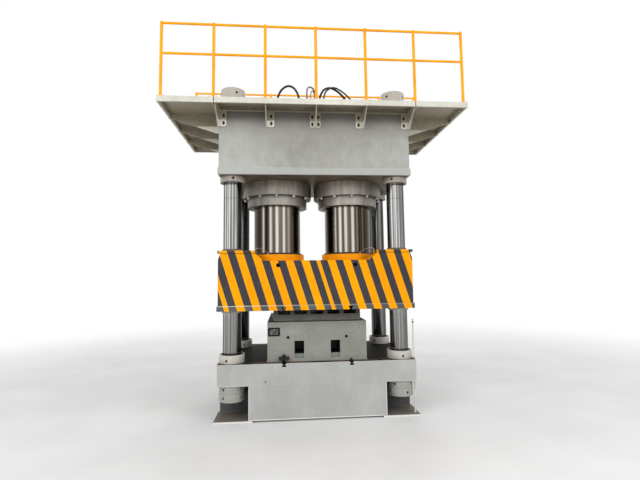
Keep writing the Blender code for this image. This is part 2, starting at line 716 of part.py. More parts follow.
def housing_valley(half_width, slope):
    """Trapezoid that is cut out between two rows of guide housings."""
    top = LIP_TOP - SLIDE_BOTTOM
    floor = SADDLE_TOP - SLIDE_BOTTOM
    over = half_width + slope * LIP_HEIGHT / HOUSING_RISE
    foot = half_width - slope
    return [(-foot, floor), (foot, floor), (over, top), (-over, top)]


def housing_chamfer(side):
    """Corner cut along the outer top edge of the housings."""
    outer = SLIDE_WIDTH / 2
    top = HOUSING_TOP - SLIDE_BOTTOM
    width, height = HOUSING_CHAMFER_WIDTH, HOUSING_CHAMFER_HEIGHT
    past_x = outer + width
    past_z = top + height
    outline = [(outer - width, top), (outer, top - height), (past_x, top - height),
               (past_x, past_z), (outer - width, past_z)]
    return [(side * x, z) for x, z in outline]


def ride_on(carrier, thing):
    """Hang a piece on the slide's carrier without moving it."""
    thing.parent = carrier
    thing.matrix_parent_inverse = Matrix.Translation(-carrier.location)


def lip_corners(side_x, side_y):
    """Cover plate on top of a guide housing, a little proud of it."""
    xs = sorted((side_x * (SLIDE_WIDTH / 2 + LIP_PROUD),
                 side_x * (SLIDE_WIDTH / 2 - HOUSING_WIDTH)))
    ys = sorted((side_y * (SLIDE_DEPTH / 2 + LIP_PROUD),
                 side_y * (SLIDE_DEPTH / 2 - HOUSING_DEPTH)))
    base = HOUSING_TOP - SLIDE_BOTTOM
    return (xs[0], ys[0], base), (xs[1], ys[1], base + LIP_HEIGHT)


def lifting_holes(name, at):
    drop = SADDLE_TOP - SLIDE_BOTTOM - LIFTING_HOLE_DROP
    face = SLIDE_DEPTH / 2
    placings = []
    for side_x in (-1, 1):
        for side_y in (-1, 1):
            lie_down = Matrix.Rotation(-side_y * math.pi / 2, 4, "X")
            place = Matrix.Translation((side_x * LIFTING_HOLE_PITCH / 2, 0, drop))
            placings.append(place @ lie_down)
    return bars(name, LIFTING_HOLE_RADIUS, face - LIFTING_HOLE_DEPTH, face + CUT_OVERRUN,
                LIFTING_HOLE_SEGMENTS, placings, at=at)


def make_slide(finishes, carrier):
    """Moving beam: a saddle between four tall guide housings."""
    half_x, half_y = SLIDE_WIDTH / 2, SLIDE_DEPTH / 2
    at = (0, 0, SLIDE_BOTTOM)
    # The box ends inside the lips, so that they become one body with it
    top = HOUSING_TOP - SLIDE_BOTTOM + LIP_HEIGHT / 2
    slide = box("slide", (-half_x, -half_y, 0), (half_x, half_y, top),
                finishes["safety_yellow"], at)
    reach_x, reach_y = half_x + CUT_OVERRUN, half_y + CUT_OVERRUN
    across = housing_valley(half_x - HOUSING_WIDTH, HOUSING_SLOPE_X)
    carve(slide, prisms("slide_valley_across", [across], "y", -reach_y, reach_y, at=at))
    along = housing_valley(half_y - HOUSING_DEPTH, HOUSING_SLOPE_Y)
    carve(slide, prisms("slide_valley_along", [along], "x", -reach_x, reach_x, at=at))
    chamfers = [housing_chamfer(side) for side in (-1, 1)]
    carve(slide, prisms("slide_chamfers", chamfers, "y", -reach_y, reach_y, at=at))
    proud = SLIDE_FLANGE_PROUD
    weld(slide, box("slide_flange", (-half_x - proud, -half_y - proud, 0),
                    (half_x + proud, half_y + proud, SLIDE_FLANGE_HEIGHT), at=at))
    lips = [lip_corners(side_x, side_y) for side_x in (-1, 1) for side_y in (-1, 1)]
    weld(slide, boxes("slide_lips", lips, at=at))
    carve(slide, column_bores("slide_bores", BUSH_RADIUS + SEAT_GAP, SLIDE_BOTTOM, LIP_TOP))
    slots = t_slots("slide_t_slots", SLIDE_DEPTH + proud, SLIDE_BOTTOM, 1)
    carve(slide, slots)
    carve(slide, lifting_holes("slide_lifting_holes", at))
    ride_on(carrier, slide)


def make_bushes(finishes, carrier):
    """Guide bush in each housing, with a wiper collar above the lip and one below."""
    inner = COLUMN_RADIUS + RUNNING_GAP
    collar = COLUMN_RADIUS + BUSH_COLLAR_WALL
    height = LIP_TOP - SLIDE_BOTTOM
    tail, top = -BUSH_TAIL_HEIGHT, height + BUSH_COLLAR_HEIGHT
    profile = [(inner, tail), (collar, tail), (collar, 0), (BUSH_RADIUS, 0),
               (BUSH_RADIUS, height), (collar, height), (collar, top), (inner, top)]
    for corner, (x, y) in COLUMN_PLACES.items():
        bush = turned(f"guide_bush_{corner}", profile, COLUMN_SEGMENTS, finishes["bronze"],
                      (x, y, SLIDE_BOTTOM))
        ride_on(carrier, bush)


def make_rams(finishes, carrier):
    """Rams that stand on the saddle, each with a stepped flange ring round its foot."""
    length, edge = RAM_LENGTH, RAM_EDGE
    ram_profile = [(0, 0), (RAM_RADIUS, 0), (RAM_RADIUS, length - edge),
                   (RAM_RADIUS - edge, length), (0, length)]
    inner = RAM_RADIUS + SEAT_GAP
    collar = inner + RAM_COLLAR_WALL
    top = RAM_FLANGE_HEIGHT + RAM_COLLAR_HEIGHT
    flange_profile = [(inner, 0), (RAM_FLANGE_RADIUS, 0),
                      (RAM_FLANGE_RADIUS, RAM_FLANGE_HEIGHT), (collar, RAM_FLANGE_HEIGHT),
                      (collar, top), (inner, top)]
    for side, x in CYLINDER_PLACES.items():
        at = (x, 0, RAM_FOOT)
        ram = turned(f"ram_{side}", ram_profile, RAM_SEGMENTS, finishes["ram_steel"], at)
        flange = turned(f"ram_flange_{side}", flange_profile, RAM_SEGMENTS,
                        finishes["safety_yellow"], at)
        ride_on(carrier, ram)
        ride_on(carrier, flange)


def make_upper_tool(finishes, carrier):
    """Tool plate that hangs under the slide on parallel bars, with a punch below it."""
    half_x, half_y = TOOL_PLATE_WIDTH / 2, TOOL_PLATE_DEPTH / 2
    at = (0, 0, TOOL_PLATE_BOTTOM)
    tool = box("upper_tool", (-half_x, -half_y, 0), (half_x, half_y, TOOL_PLATE_HEIGHT),
               finishes["tool_steel"], at)
    inset_x, inset_y = half_x - PUNCH_INSET, half_y - PUNCH_INSET
    weld(tool, box("tool_punch", (-inset_x, -inset_y, -PUNCH_HEIGHT),
                   (inset_x, inset_y, TOOL_PLATE_HEIGHT / 2), at=at))
    top = TOOL_PLATE_HEIGHT + PARALLEL_HEIGHT
    parallels = []
    for index in range(PARALLELS):
        middle = (index - (PARALLELS - 1) / 2) * PARALLEL_PITCH
        parallels.append(((middle - PARALLEL_WIDTH / 2, -half_y, TOOL_PLATE_HEIGHT / 2),
                          (middle + PARALLEL_WIDTH / 2, half_y, top)))
    weld(tool, boxes("tool_parallels", parallels, at=at))
    ride_on(carrier, tool)


def die_window_corners(side_x, side_y, height, reach):
    middle = side_x * DIE_WINDOW_PITCH / 2
    face = DIE_DEPTH / 2
    ys = sorted((side_y * (face + CUT_OVERRUN), side_y * (face - reach)))
    top = DIE_WINDOW_SILL + DIE_WINDOW_HEIGHT
    return ((middle - DIE_WINDOW_WIDTH / 2, ys[0], top - height),
            (middle + DIE_WINDOW_WIDTH / 2, ys[1], top))


def make_die(finishes):
    """Lower tool: a box with two windows, two bores and clamp pockets on each long side."""
    half_x, half_y = DIE_WIDTH / 2, DIE_DEPTH / 2
    at = (0, 0, DIE_BOTTOM)
    die = box("die_box", (-half_x, -half_y, 0), (half_x, half_y, DIE_HEIGHT),
              finishes["tool_paint"], at)
    proud = DIE_PLINTH_PROUD
    weld(die, box("die_plinth", (-half_x - proud, -half_y - proud, 0),
                  (half_x + proud, half_y + proud, DIE_PLINTH_HEIGHT), at=at))
    faces = [(side_x, side_y) for side_x in (-1, 1) for side_y in (-1, 1)]
    above_step = DIE_WINDOW_HEIGHT - DIE_WINDOW_STEP
    deep = [die_window_corners(*face, above_step, DIE_WINDOW_REACH) for face in faces]
    carve(die, boxes("die_windows", deep, at=at))
    shallow = [die_window_corners(*face, DIE_WINDOW_HEIGHT, DIE_WINDOW_STEP_REACH)
               for face in faces]
    carve(die, boxes("die_window_steps", shallow, at=at))
    placings = []
    for side_x, side_y in faces:
        lie_down = Matrix.Rotation(-side_y * math.pi / 2, 4, "X")
        place = Matrix.Translation((side_x * DIE_HOLE_PITCH / 2, 0, DIE_HEIGHT - DIE_HOLE_DROP))
        placings.append(place @ lie_down)
    carve(die, bars("die_holes", DIE_HOLE_RADIUS, half_y - DIE_HOLE_DEPTH,
                    half_y + CUT_OVERRUN, DIE_HOLE_SEGMENTS, placings, at=at))
    pocket_half = CLAMP_BAR_WIDTH / 2 + SEAT_GAP
    pocket_x = -T_SLOT_PITCH / 2
    carve(die, box("die_clamp_pocket",
                   (pocket_x - pocket_half, -half_y - CUT_OVERRUN, CLAMP_BAR_RISE - SEAT_GAP),
                   (pocket_x + pocket_half, -half_y + CLAMP_POCKET_DEPTH,
                    CLAMP_BAR_RISE + CLAMP_BAR_HEIGHT + SEAT_GAP), at=at))


def stud_parts(name, x, y, nut_bottom):
    """Stud in a T-slot with its nut: the head that fills the slot, the shank, the nut."""
    head_bottom = -T_SLOT_DEPTH + SEAT_GAP
    head_top = -T_SLOT_DEPTH + T_SLOT_HEAD_HEIGHT - SEAT_GAP
    half = T_SLOT_HEAD / 2 - SEAT_GAP
    stud = box(name, (-half, -half, head_bottom), (half, half, head_top),
               at=(x, y, BED_TOP))
    tip = nut_bottom + CLAMP_NUT_HEIGHT + STUD_TIP
    here = [Matrix.Identity(4)]
    weld(stud, bars(f"{name}_shank", STUD_RADIUS, (head_bottom + head_top) / 2, tip,
                    STUD_SEGMENTS, here, at=stud.location))
    weld(stud, bars(f"{name}_nut", CLAMP_NUT_RADIUS, nut_bottom,
                    nut_bottom + CLAMP_NUT_HEIGHT, CLAMP_NUT_SIDES, here, at=stud.location))
    return stud


def make_clamps(finishes):
    """Clamp bar on the left of the tool, and a bare stud in the right slot."""
    y = -BED_DEPTH / 2 + STUD_SETBACK
    bar_bottom = DIE_BOTTOM - BED_TOP + CLAMP_BAR_RISE
    clamp = stud_parts("die_clamp", -T_SLOT_PITCH / 2, y, bar_bottom + CLAMP_BAR_HEIGHT)
    clamp.data.materials.append(finishes["black_steel"])
    # The bar's back end sits in the tool's pocket, and its front end covers the stud
    back = -DIE_DEPTH / 2 + CLAMP_POCKET_DEPTH - SEAT_GAP - y
    half = CLAMP_BAR_WIDTH / 2
    weld(clamp, box("die_clamp_bar", (-half, -CLAMP_BAR_NOSE, bar_bottom),
                    (half, back, bar_bottom + CLAMP_BAR_HEIGHT), at=clamp.location))
    stud = stud_parts("t_slot_stud", T_SLOT_PITCH / 2, y, SEAT_GAP)
    stud.data.materials.append(finishes["black_steel"])


def make_pipe(finishes):
    """Thin pipe that stands on a foot plate and passes up through the bed's corner."""
    x, y = pipe_place()
    profile = bar_profile(PIPE_RADIUS, FOOT_THICKNESS + SEAT_GAP, BED_TOP + PIPE_RISE)
    turned("corner_pipe", profile, PIPE_SEGMENTS, finishes["pipe_paint"], (x, y, 0))


def platform_frame(name, low, high, finishes):
    """Deck on a rim of channel: a tray turned upside down, with lips turned inwards."""
    bottom, top = CHANNEL_BOTTOM, DECK_TOP
    frame = box(name, (*low, bottom), (*high, top), finishes["cream_paint"])
    web, flange = CHANNEL_WEB, CHANNEL_FLANGE
    hollow_top = top - DECK_THICKNESS
    carve(frame, box(f"{name}_hollow", (low[0] + web, low[1] + web, bottom + CHANNEL_LIP),
                     (high[0] - web, high[1] - web, hollow_top)))
    carve(frame, box(f"{name}_mouth", (low[0] + flange, low[1] + flange, bottom - CUT_OVERRUN),
                     (high[0] - flange, high[1] - flange, bottom + 2 * CHANNEL_LIP)))
    return frame


def bracket_outline(width, foot):
    """Side view of a gusset: deep at the wall and tapering to the channel's edge."""
    top = DECK_TOP - DECK_THICKNESS / 2
    toe = CHANNEL_BOTTOM - GUSSET_TOE
    low = CHANNEL_BOTTOM - BRACKET_DROP
    return [(0, low), (0, top), (width, top), (width, toe), (width - foot / 2, toe),
            (foot, low)]


def plate_outline(start, end, low, top):
    """Upright plate with its lower corners cut off."""
    cut = BRACKET_CORNER
    return [(start + cut, low), (end - cut, low), (end, low + cut), (end, top),
            (start, top), (start, low + cut)]


def front_brackets():
    """X of each gusset, and the X range of its bolted plate."""
    wide = MIDDLE_BRACKET_WIDTH / 2
    # The outermost gussets stand under the webs at the section's ends
    last = (CROWN_WIDTH / 2 + SECTION_OVERHANG - CHANNEL_WEB / 2 - GUSSET_THICKNESS / 2)
    places = [(0, -wide, wide)]
    for side in (-1, 1):
        for reach in (BRACKET_PITCH, last):
            gusset = side * reach
            inner = gusset - side * BRACKET_WIDTH
            outer = gusset + side * GUSSET_THICKNESS / 4
            places.append((gusset, *sorted((inner, outer))))
    return places


def make_long_platform(name, facing, finishes):
    """Front section (facing -1) or rear section (facing +1) of the walkway."""
    half = CROWN_WIDTH / 2 + SECTION_OVERHANG
    wall = facing * (CROWN_DEPTH / 2 + SEAT_GAP)
    edge = wall + facing * WALKWAY_FRONT
    ys = sorted((wall, edge))
    frame = platform_frame(name, (-half, ys[0]), (half, ys[1]), finishes)
    low = CHANNEL_BOTTOM - BRACKET_DROP
    plate_ys = sorted((wall, wall + facing * BRACKET_PLATE))
    plates = [plate_outline(start, end, low, CHANNEL_BOTTOM + CHANNEL_LIP / 2)
              for gusset, start, end in front_brackets()]
    weld(frame, prisms(f"{name}_plates", plates, "y", *plate_ys))
    outline = [(wall + facing * u, z) for u, z in
               bracket_outline(WALKWAY_FRONT - CHANNEL_WEB / 2, BRACKET_TOE_LENGTH)]
    bm = bmesh.new()
    for gusset, start, end in front_brackets():
        add_prism(bm, outline, "x", gusset - GUSSET_THICKNESS / 2,
                  gusset + GUSSET_THICKNESS / 2)
    weld(frame, add_object(f"{name}_gussets", bm))


def side_bracket_places():
    middle = (BRACKETS_PER_SIDE - 1) / 2
    return [(index - middle) * SIDE_BRACKET_PITCH for index in range(BRACKETS_PER_SIDE)]


def make_side_platform(name, side, finishes):
    """Left or right section, which runs past the crown to the outer corners."""
    wall = side * (CROWN_WIDTH / 2 + SEAT_GAP)
    inner_reach = CROWN_WIDTH / 2 + SECTION_OVERHANG + SECTION_GAP
    inner = side * inner_reach
    edge = side * (CROWN_WIDTH / 2 + WALKWAY_SIDE)
    reach = CROWN_DEPTH / 2 + SEAT_GAP + WALKWAY_FRONT
    xs = sorted((inner, edge))
    frame = platform_frame(name, (xs[0], -reach), (xs[1], reach), finishes)
    low = CHANNEL_BOTTOM - BRACKET_DROP
    # The plates reach from the crown's wall to the frame, and carry it
    plate_xs = sorted((wall, side * (inner_reach + CHANNEL_WEB / 2)))
    plates = []
    bm = bmesh.new()
    outline = [(wall + side * u, z) for u, z in
               bracket_outline(WALKWAY_SIDE - CHANNEL_WEB / 2, SIDE_BRACKET_TOE_LENGTH)]
    for y in side_bracket_places():
        plates.append(plate_outline(y - BRACKET_WIDTH, y + GUSSET_THICKNESS / 2, low,
                                    DECK_TOP - DECK_THICKNESS))
        add_prism(bm, outline, "y", y - GUSSET_THICKNESS / 2, y + GUSSET_THICKNESS / 2)
    weld(frame, prisms(f"{name}_plates", plates, "x", *plate_xs))
    weld(frame, add_object(f"{name}_gussets", bm))


def make_platforms(finishes):
    make_long_platform("platform_front", -1, finishes)
    make_long_platform("platform_rear", 1, finishes)
    for side_name, side in SIDES.items():
        make_side_platform(f"platform_{side_name}", side, finishes)


def make_railing(name, facing, finishes):
    """Posts of round tube on foot plates, with a rail at mid height and one on top."""
    y = facing * (CROWN_DEPTH / 2 + SEAT_GAP + WALKWAY_FRONT - RAILING_SETBACK
                  - POST_RADIUS)
    half = CROWN_WIDTH / 2 + WALKWAY_SIDE - RAILING_SETBACK
    pitch = 2 * half / (RAILING_POSTS - 1)
    places = [-half + index * pitch for index in range(RAILING_POSTS)]
    at = (0, y, RAILING_BOTTOM)
    # Feet stay on the deck: those at the outer corners are cut to its edge
    feet = []
    for x in places:
        low = max(x - POST_FOOT_WIDTH / 2, -half - RAILING_SETBACK)
        high = min(x + POST_FOOT_WIDTH / 2, half + RAILING_SETBACK)
        feet.append(((low, -POST_FOOT_DEPTH / 2, 0),
                     (high, POST_FOOT_DEPTH / 2, POST_FOOT_THICKNESS)))
    lie_down = Matrix.Rotation(math.pi / 2, 4, "Y")
    rails = [Matrix.Translation((0, 0, height)) @ lie_down
             for height in (MID_RAIL_HEIGHT, TOP_RAIL_HEIGHT)]
    railing = bars(name, RAIL_RADIUS, -half, half, TUBE_SEGMENTS, rails,
                   finishes["safety_yellow"], at)
    # The posts' flats, not their edges, meet the rails
    turn = Matrix.Rotation(FULL_TURN / TUBE_SEGMENTS / 2, 4, "Z")
    posts = [Matrix.Translation((x, 0, 0)) @ turn for x in places]
    top = TOP_RAIL_HEIGHT + RAIL_RADIUS + POST_CAP
    weld(railing, bars(f"{name}_posts", POST_RADIUS, POST_FOOT_THICKNESS / 2, top,
                       TUBE_SEGMENTS, posts, at=at))
    weld(railing, boxes(f"{name}_feet", feet, at=at))


def make_manifold(finishes):
    """T-shaped valve block on the crown, with a fitting for each hose end."""
    half = MANIFOLD_BAR_WIDTH / 2
    spine = MANIFOLD_SPINE_WIDTH / 2
    front = -MANIFOLD_BAR_FRONT
    back = front + MANIFOLD_BAR_DEPTH
    end = MANIFOLD_SPINE_END
    outline = [(-half, front), (half, front), (half, back), (spine, back), (spine, end),
               (-spine, end), (-spine, back), (-half, back)]
    at = (0, 0, MANIFOLD_BOTTOM)
    manifold = prisms("manifold", [outline], "z", 0, MANIFOLD_HEIGHT,
                      finishes["black_steel"], at)
    placings = [Matrix.Translation(place) for place in manifold_ports()]
    weld(manifold, bars("manifold_fittings", FITTING_RADIUS, MANIFOLD_HEIGHT / 2,
                        MANIFOLD_HEIGHT + FITTING_HEIGHT, FITTING_SIDES, placings, at=at))


def manifold_ports():
    """Places of the fittings on the manifold, as seen from above."""
    middle = -MANIFOLD_BAR_FRONT + MANIFOLD_BAR_DEPTH / 2
    return [(-HOSE_A_PORT, middle, 0), (-LOOP_PORT, middle, 0), (HOSE_C_PORT, middle, 0),
            (0, LOOP_PORT_BACK, 0)]


def make_hoses(finishes):
    """Hoses that arch from the manifold to the cylinder heads and to its own spine."""
    rubber = finishes["hose_rubber"]
    port_a, port_loop, port_c, port_back = (Vector(place) for place in manifold_ports())
    up = Vector((0, 0, 1))
    low = MANIFOLD_TOP + FITTING_HEIGHT + SEAT_GAP
    head_low = HEAD_BOTTOM + HEAD_HEIGHT + FITTING_HEIGHT + SEAT_GAP
    left = Vector((CYLINDER_PLACES["left"], -HEAD_FITTING_REACH, head_low))
    right = Vector((CYLINDER_PLACES["right"], -HEAD_FITTING_REACH, head_low))
    rise = HOSE_STUB
    start = port_a + up * low
    flexible_line("hose_left", [
        start, start + up * rise, (-0.262, -0.585, 5.170), (-0.330, -0.555, 5.290),
        (-0.431, -0.520, 5.335), (-0.535, -0.470, 5.285), (-0.600, -0.410, 5.170),
        left + up * rise, left], HOSE_RADIUS, HOSE_STEP, rubber)
    start = port_loop + up * low
    back = port_back + up * low
    flexible_line("hose_loop", [
        start, start + up * rise, (-0.115, -0.585, 5.170), (-0.105, -0.490, 5.330),
        (-0.080, -0.330, 5.400), (-0.045, -0.140, 5.370), (-0.010, 0.020, 5.250),
        back + up * rise, back], LOOP_HOSE_RADIUS, HOSE_STEP, rubber)
    start = port_c + up * low
    flexible_line("hose_right", [
        start, start + up * rise, (0.118, -0.590, 5.150), (0.180, -0.570, 5.260),
        (0.285, -0.540, 5.310), (0.400, -0.505, 5.280), (0.510, -0.465, 5.205),
        (0.590, -0.420, 5.120), right + up * rise, right], HOSE_RADIUS, HOSE_STEP, rubber)


def make_grease_lines(finishes, carrier):
    """Thin tube from each front housing's lip down to the ram flange beside it."""
    for side_name, side in SIDES.items():
        lip_x = SLIDE_WIDTH / 2 - HOUSING_WIDTH + GREASE_LINE_INSET
        lip_y = -SLIDE_DEPTH / 2 + HOUSING_DEPTH - GREASE_LINE_INSET
        start = Vector((side * lip_x, lip_y, LIP_TOP + SEAT_GAP))
        ram = Vector((side * CYLINDER_PITCH / 2, 0, RAM_FLANGE_TOP + SEAT_GAP))
        landing = RAM_FLANGE_RADIUS - GREASE_LINE_LANDING / 2
        bearing = GREASE_LINE_BEARING
        away = Vector((side * math.sin(bearing), -math.cos(bearing), 0))
        end = ram + away * landing
        stub = Vector((0, 0, GREASE_LINE_STUB))
        over = start.lerp(end, GREASE_LINE_PEAK_SHARE)
        over.z = LIP_TOP + GREASE_LINE_HUMP
        line = flexible_line(f"grease_line_{side_name}", [
            start, start + stub, over, end + stub, end], GREASE_LINE_RADIUS,
            GREASE_LINE_STEP, finishes["column_steel"])
        ride_on(carrier, line)


def make_carrier():
    """Empty on the slide's line of travel, which carries all that moves with it."""
    carrier = bpy.data.objects.new("slide_travel", None)
    carrier.location = (0, 0, SLIDE_BOTTOM)
    bpy.context.scene.collection.objects.link(carrier)
    return carrier


def main():
    clear_scene()
    finishes = make_finishes()
    make_bed(finishes)
    make_pedestal(finishes)
    make_crown(finishes)
    make_columns(finishes)
    make_cylinders(finishes)
    make_platforms(finishes)
    for name, facing in (("railing_front", -1), ("railing_rear", 1)):
        make_railing(name, facing, finishes)
    make_manifold(finishes)
    make_hoses(finishes)
    make_die(finishes)
    make_clamps(finishes)
    make_pipe(finishes)
    carrier = make_carrier()
    make_slide(finishes, carrier)
    make_bushes(finishes, carrier)
    make_rams(finishes, carrier)
    make_upper_tool(finishes, carrier)
    make_grease_lines(finishes, carrier)


main()
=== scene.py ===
import math

import bmesh
import bpy
from mathutils import Matrix, Vector


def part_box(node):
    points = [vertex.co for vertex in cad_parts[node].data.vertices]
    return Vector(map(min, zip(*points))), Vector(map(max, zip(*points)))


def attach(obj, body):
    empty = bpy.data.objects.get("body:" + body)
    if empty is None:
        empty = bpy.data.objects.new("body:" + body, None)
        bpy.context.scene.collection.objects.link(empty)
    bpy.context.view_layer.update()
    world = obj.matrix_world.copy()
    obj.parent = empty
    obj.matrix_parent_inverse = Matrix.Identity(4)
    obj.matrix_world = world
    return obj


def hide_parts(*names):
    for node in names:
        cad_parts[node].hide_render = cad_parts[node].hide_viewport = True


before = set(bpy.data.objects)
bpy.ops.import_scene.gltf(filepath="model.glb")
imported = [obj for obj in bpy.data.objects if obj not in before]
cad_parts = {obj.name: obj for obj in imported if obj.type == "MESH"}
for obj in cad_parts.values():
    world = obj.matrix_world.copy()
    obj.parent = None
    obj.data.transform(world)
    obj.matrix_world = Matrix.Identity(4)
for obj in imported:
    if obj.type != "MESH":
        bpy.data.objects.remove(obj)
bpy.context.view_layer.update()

# Levels and places that the solids give
BED_LOW, BED_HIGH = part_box("bed")
CROWN_LOW, CROWN_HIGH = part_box("crown")
SLIDE_LOW, SLIDE_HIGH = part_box("slide")
DIE_LOW, DIE_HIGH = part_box("die_box")
BED_TOP = BED_HIGH.z
CROWN_BOTTOM = CROWN_LOW.z
DECK_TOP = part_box("platform_front")[1].z

# Measures of the solids, and of what is fitted to them
PEDESTAL_SIDE = 1.04
PEDESTAL_TOP = 0.52
T_SLOT_X, T_SLOT_HALF, T_SLOT_DEPTH = 0.512, 0.0315, 0.0535
CROWN_HALF_X, CROWN_HALF_Y = 1.5, 0.940
FLANGE_HEIGHT = 0.108
COLUMN_GROOVE = 3.362
FOOT_FLANGE_TOP = SLIDE_LOW.z + 0.0765
LIFTING_HOLE_X, LIFTING_HOLE_RADIUS = 0.595, 0.0325
LIFTING_HOLE_Z = SLIDE_HIGH.z - 0.229
DIE_WINDOW_X, DIE_WINDOW_HALF, DIE_WINDOW_TOP = 0.2785, 0.0735, 0.3095
DIE_PLINTH, DIE_HOLE_X, DIE_HOLE_DROP = 0.008, 0.450, 0.234
RAM_X, RAM_FLANGE_RADIUS, RAM_FLANGE_HEIGHT = 0.620, 0.460, 0.120
HEAD_STEP, HEAD_BOSS = 0.070, 0.150
PORT_Y = -0.385
DRAIN_PORT_X, DRAIN_PORT_Y = 0.140, -0.260
ADAPTER_HEIGHT = 0.045
HOSE_GAP = 0.0003
# Ports of the valve block: hose on the left, start of the loop, hose on the right, end of
# the loop, start and end of the pilot loop, drain
BLOCK_PORTS = ((-0.240, -0.600), (-0.110, -0.600), (0.105, -0.600), (0.0, 0.080),
               (-0.050, -0.645), (0.045, -0.100), (0.165, -0.645))
WALKWAY_REACH, RAIL_INSET = 0.850, 0.042
BRACKET_BOLTS_Z = (4.634, 4.518)
# Height below which the bracket plates are bright: rubbed paint, and painted light below the deck's
# shadow
LOW_BOLT_WEAR_AND_LIGHT = 4.560

CORNERS = ("front_left", "front_right", "rear_left", "rear_right")
SIDES = {"left": -1, "right": 1}
FULL_TURN = 2 * math.pi
SHARP = math.radians(32)
FINISHES = {}


def tint(colour):
    """Light that a colour stands for, given as the eye sees it: a grey, or three parts."""
    if isinstance(colour, Signal):
        return colour
    parts = (colour,) * 3 if isinstance(colour, (int, float)) else colour
    return (*(c / 12.92 if c < 0.0405 else ((c + 0.055) / 1.055) ** 2.4 for c in parts), 1.0)


# Shader sums


class Signal:
    """One output of a node. Python's operators on it add the Math nodes of a sum."""

    def __init__(self, sheet, socket):
        self.sheet = sheet
        self.socket = socket

    def sum(self, operation, *values):
        return self.sheet.node("ShaderNodeMath", {"operation": operation}, values)

    def __add__(self, other):
        return self.sum("ADD", self, other)

    def __radd__(self, other):
        return self.sum("ADD", other, self)

    def __sub__(self, other):
        return self.sum("SUBTRACT", self, other)

    def __rsub__(self, other):
        return self.sum("SUBTRACT", other, self)

    def __mul__(self, other):
        return self.sum("MULTIPLY", self, other)

    def __rmul__(self, other):
        return self.sum("MULTIPLY", other, self)

    def __truediv__(self, other):
        return self.sum("DIVIDE", self, other)

    def __rtruediv__(self, other):
        return self.sum("DIVIDE", other, self)

    def __pow__(self, other):
        return self.sum("POWER", self, other)

    def __gt__(self, other):
        return self.sum("GREATER_THAN", self, other)

    def __lt__(self, other):
        return self.sum("LESS_THAN", self, other)

    def __abs__(self):
        return self.sum("ABSOLUTE", self)

    def __or__(self, other):
        return self.sum("MAXIMUM", self, other)

    def __and__(self, other):
        return self.sum("MINIMUM", self, other)

    def fraction(self):
        return self.sum("FRACT", self)

    def sign(self):
        return self.sum("SIGN", self)

    def wave(self):
        return self.sum("SINE", self)

    def spread(self, low, high, start=0.0, end=1.0):
        """Straight ramp from start at low to end at high, level outside them."""
        return self.sheet.node(
            "ShaderNodeMapRange", {"clamp": True}, (self, low, high, start, end))


class Sheet:
    """Node tree that is filled by one method."""

    def __init__(self, tree):
        self.tree = tree
        tree.nodes.clear()

    def node(self, kind, settings=None, values=(), output=0):
        """Add a node: its settings first, then values or links by place or by name."""
        made = self.tree.nodes.new(kind)
        for setting, value in (settings or {}).items():
            if setting == "stops":
                self.set_stops(made.color_ramp, value)
            else:
                setattr(made, setting, value)
        pairs = values.items() if isinstance(values, dict) else enumerate(values)
        for key, value in pairs:
            if isinstance(value, Signal):
                self.tree.links.new(value.socket, made.inputs[key])
            else:
                made.inputs[key].default_value = value
        return Signal(self, made.outputs[output]) if made.outputs else made

    def set_stops(self, ramp, stops):
        while len(ramp.elements) < len(stops):
            ramp.elements.new(0.5)
        for element, (place, colour) in zip(ramp.elements, stops):
            element.position = place
            element.color = tint(colour)


class Finish(Sheet):
    """Material of one kind of surface, laid out from object coordinates."""

    def __init__(self, name):
        material = bpy.data.materials.new(name)
        material.use_nodes = True
        super().__init__(material.node_tree)
        FINISHES[name] = material
        self.place = self.node("ShaderNodeTexCoord", output=3)
        self.facing = self.node("ShaderNodeTexCoord", output=1)

    def parts(self, vector):
        return [self.node("ShaderNodeSeparateXYZ", values=(vector,), output=index)
                for index in range(3)]

    def stretched(self, scale, stretch, shift):
        """Object coordinates made denser by scale, drawn out where stretch is small."""
        if isinstance(stretch, (int, float)):
            stretch = (1, 1, stretch)
        longer = self.node(
            "ShaderNodeVectorMath", {"operation": "MULTIPLY"},
            (self.place, [scale * share for share in stretch]))
        return self.node("ShaderNodeVectorMath", {"operation": "ADD"}, (longer, shift))

    def clouds(self, scale, stretch=1, detail=2.0, shift=0.0, roughness=0.5):
        """Soft random value round 0.5. A stretch of one number is for the height alone."""
        where = self.stretched(scale, stretch, (shift, shift * 0.7, shift * 1.3))
        return self.node("ShaderNodeTexNoise", values={
            "Vector": where, "Scale": 1.0, "Detail": detail, "Roughness": roughness})

    def cells(self, scale, stretch=1, shift=0.0):
        """Distance to the nearest of many scattered points."""
        where = self.stretched(scale, stretch, (shift, shift, shift))
        return self.node("ShaderNodeTexVoronoi", values={"Vector": where, "Scale": 1.0})

    def ramp(self, value, *stops):
        return self.node("ShaderNodeValToRGB", {"stops": stops}, (value,))

    def blend(self, mask, first, second):
        """Colour that is first where mask is 0 and second where it is 1."""
        return self.node(
            "ShaderNodeMix", {"data_type": "RGBA"},
            {0: mask, 6: tint(first), 7: tint(second)}, 2)

    def bearing(self, x, y):
        """Degrees round an upright bar: 0 at its front and rear, 90 at its right side."""
        turned = self.node("ShaderNodeMath", {"operation": "ARCTAN2"}, (x, abs(y)))
        return turned * (180 / math.pi)

    def add_reflection_streaks(self, tone, angle, streaks):
        """Tone with painted reflections: upright bright lines on a round bar, each at an angle, so
        wide, so much brighter.
        """
        for middle, width, strength in streaks:
            away = (angle - middle) / width
            tone = tone + ((1 - away * away) | 0.0) * strength
        return tone

    def dents(self, height, depth, strength):
        return self.node(
            "ShaderNodeBump", values={"Strength": strength, "Distance": depth, "Height": height})

    def surface(self, colour, **sockets):
        """Main shader, with its sockets by their names in small letters."""
        values = {name.replace("_", " ").title().replace("Ior", "IOR"): value
                  for name, value in sockets.items()}
        shader = self.node("ShaderNodeBsdfPrincipled", values={"Base Color": colour, **values})
        self.node("ShaderNodeOutputMaterial", values=(shader,))


# Finishes


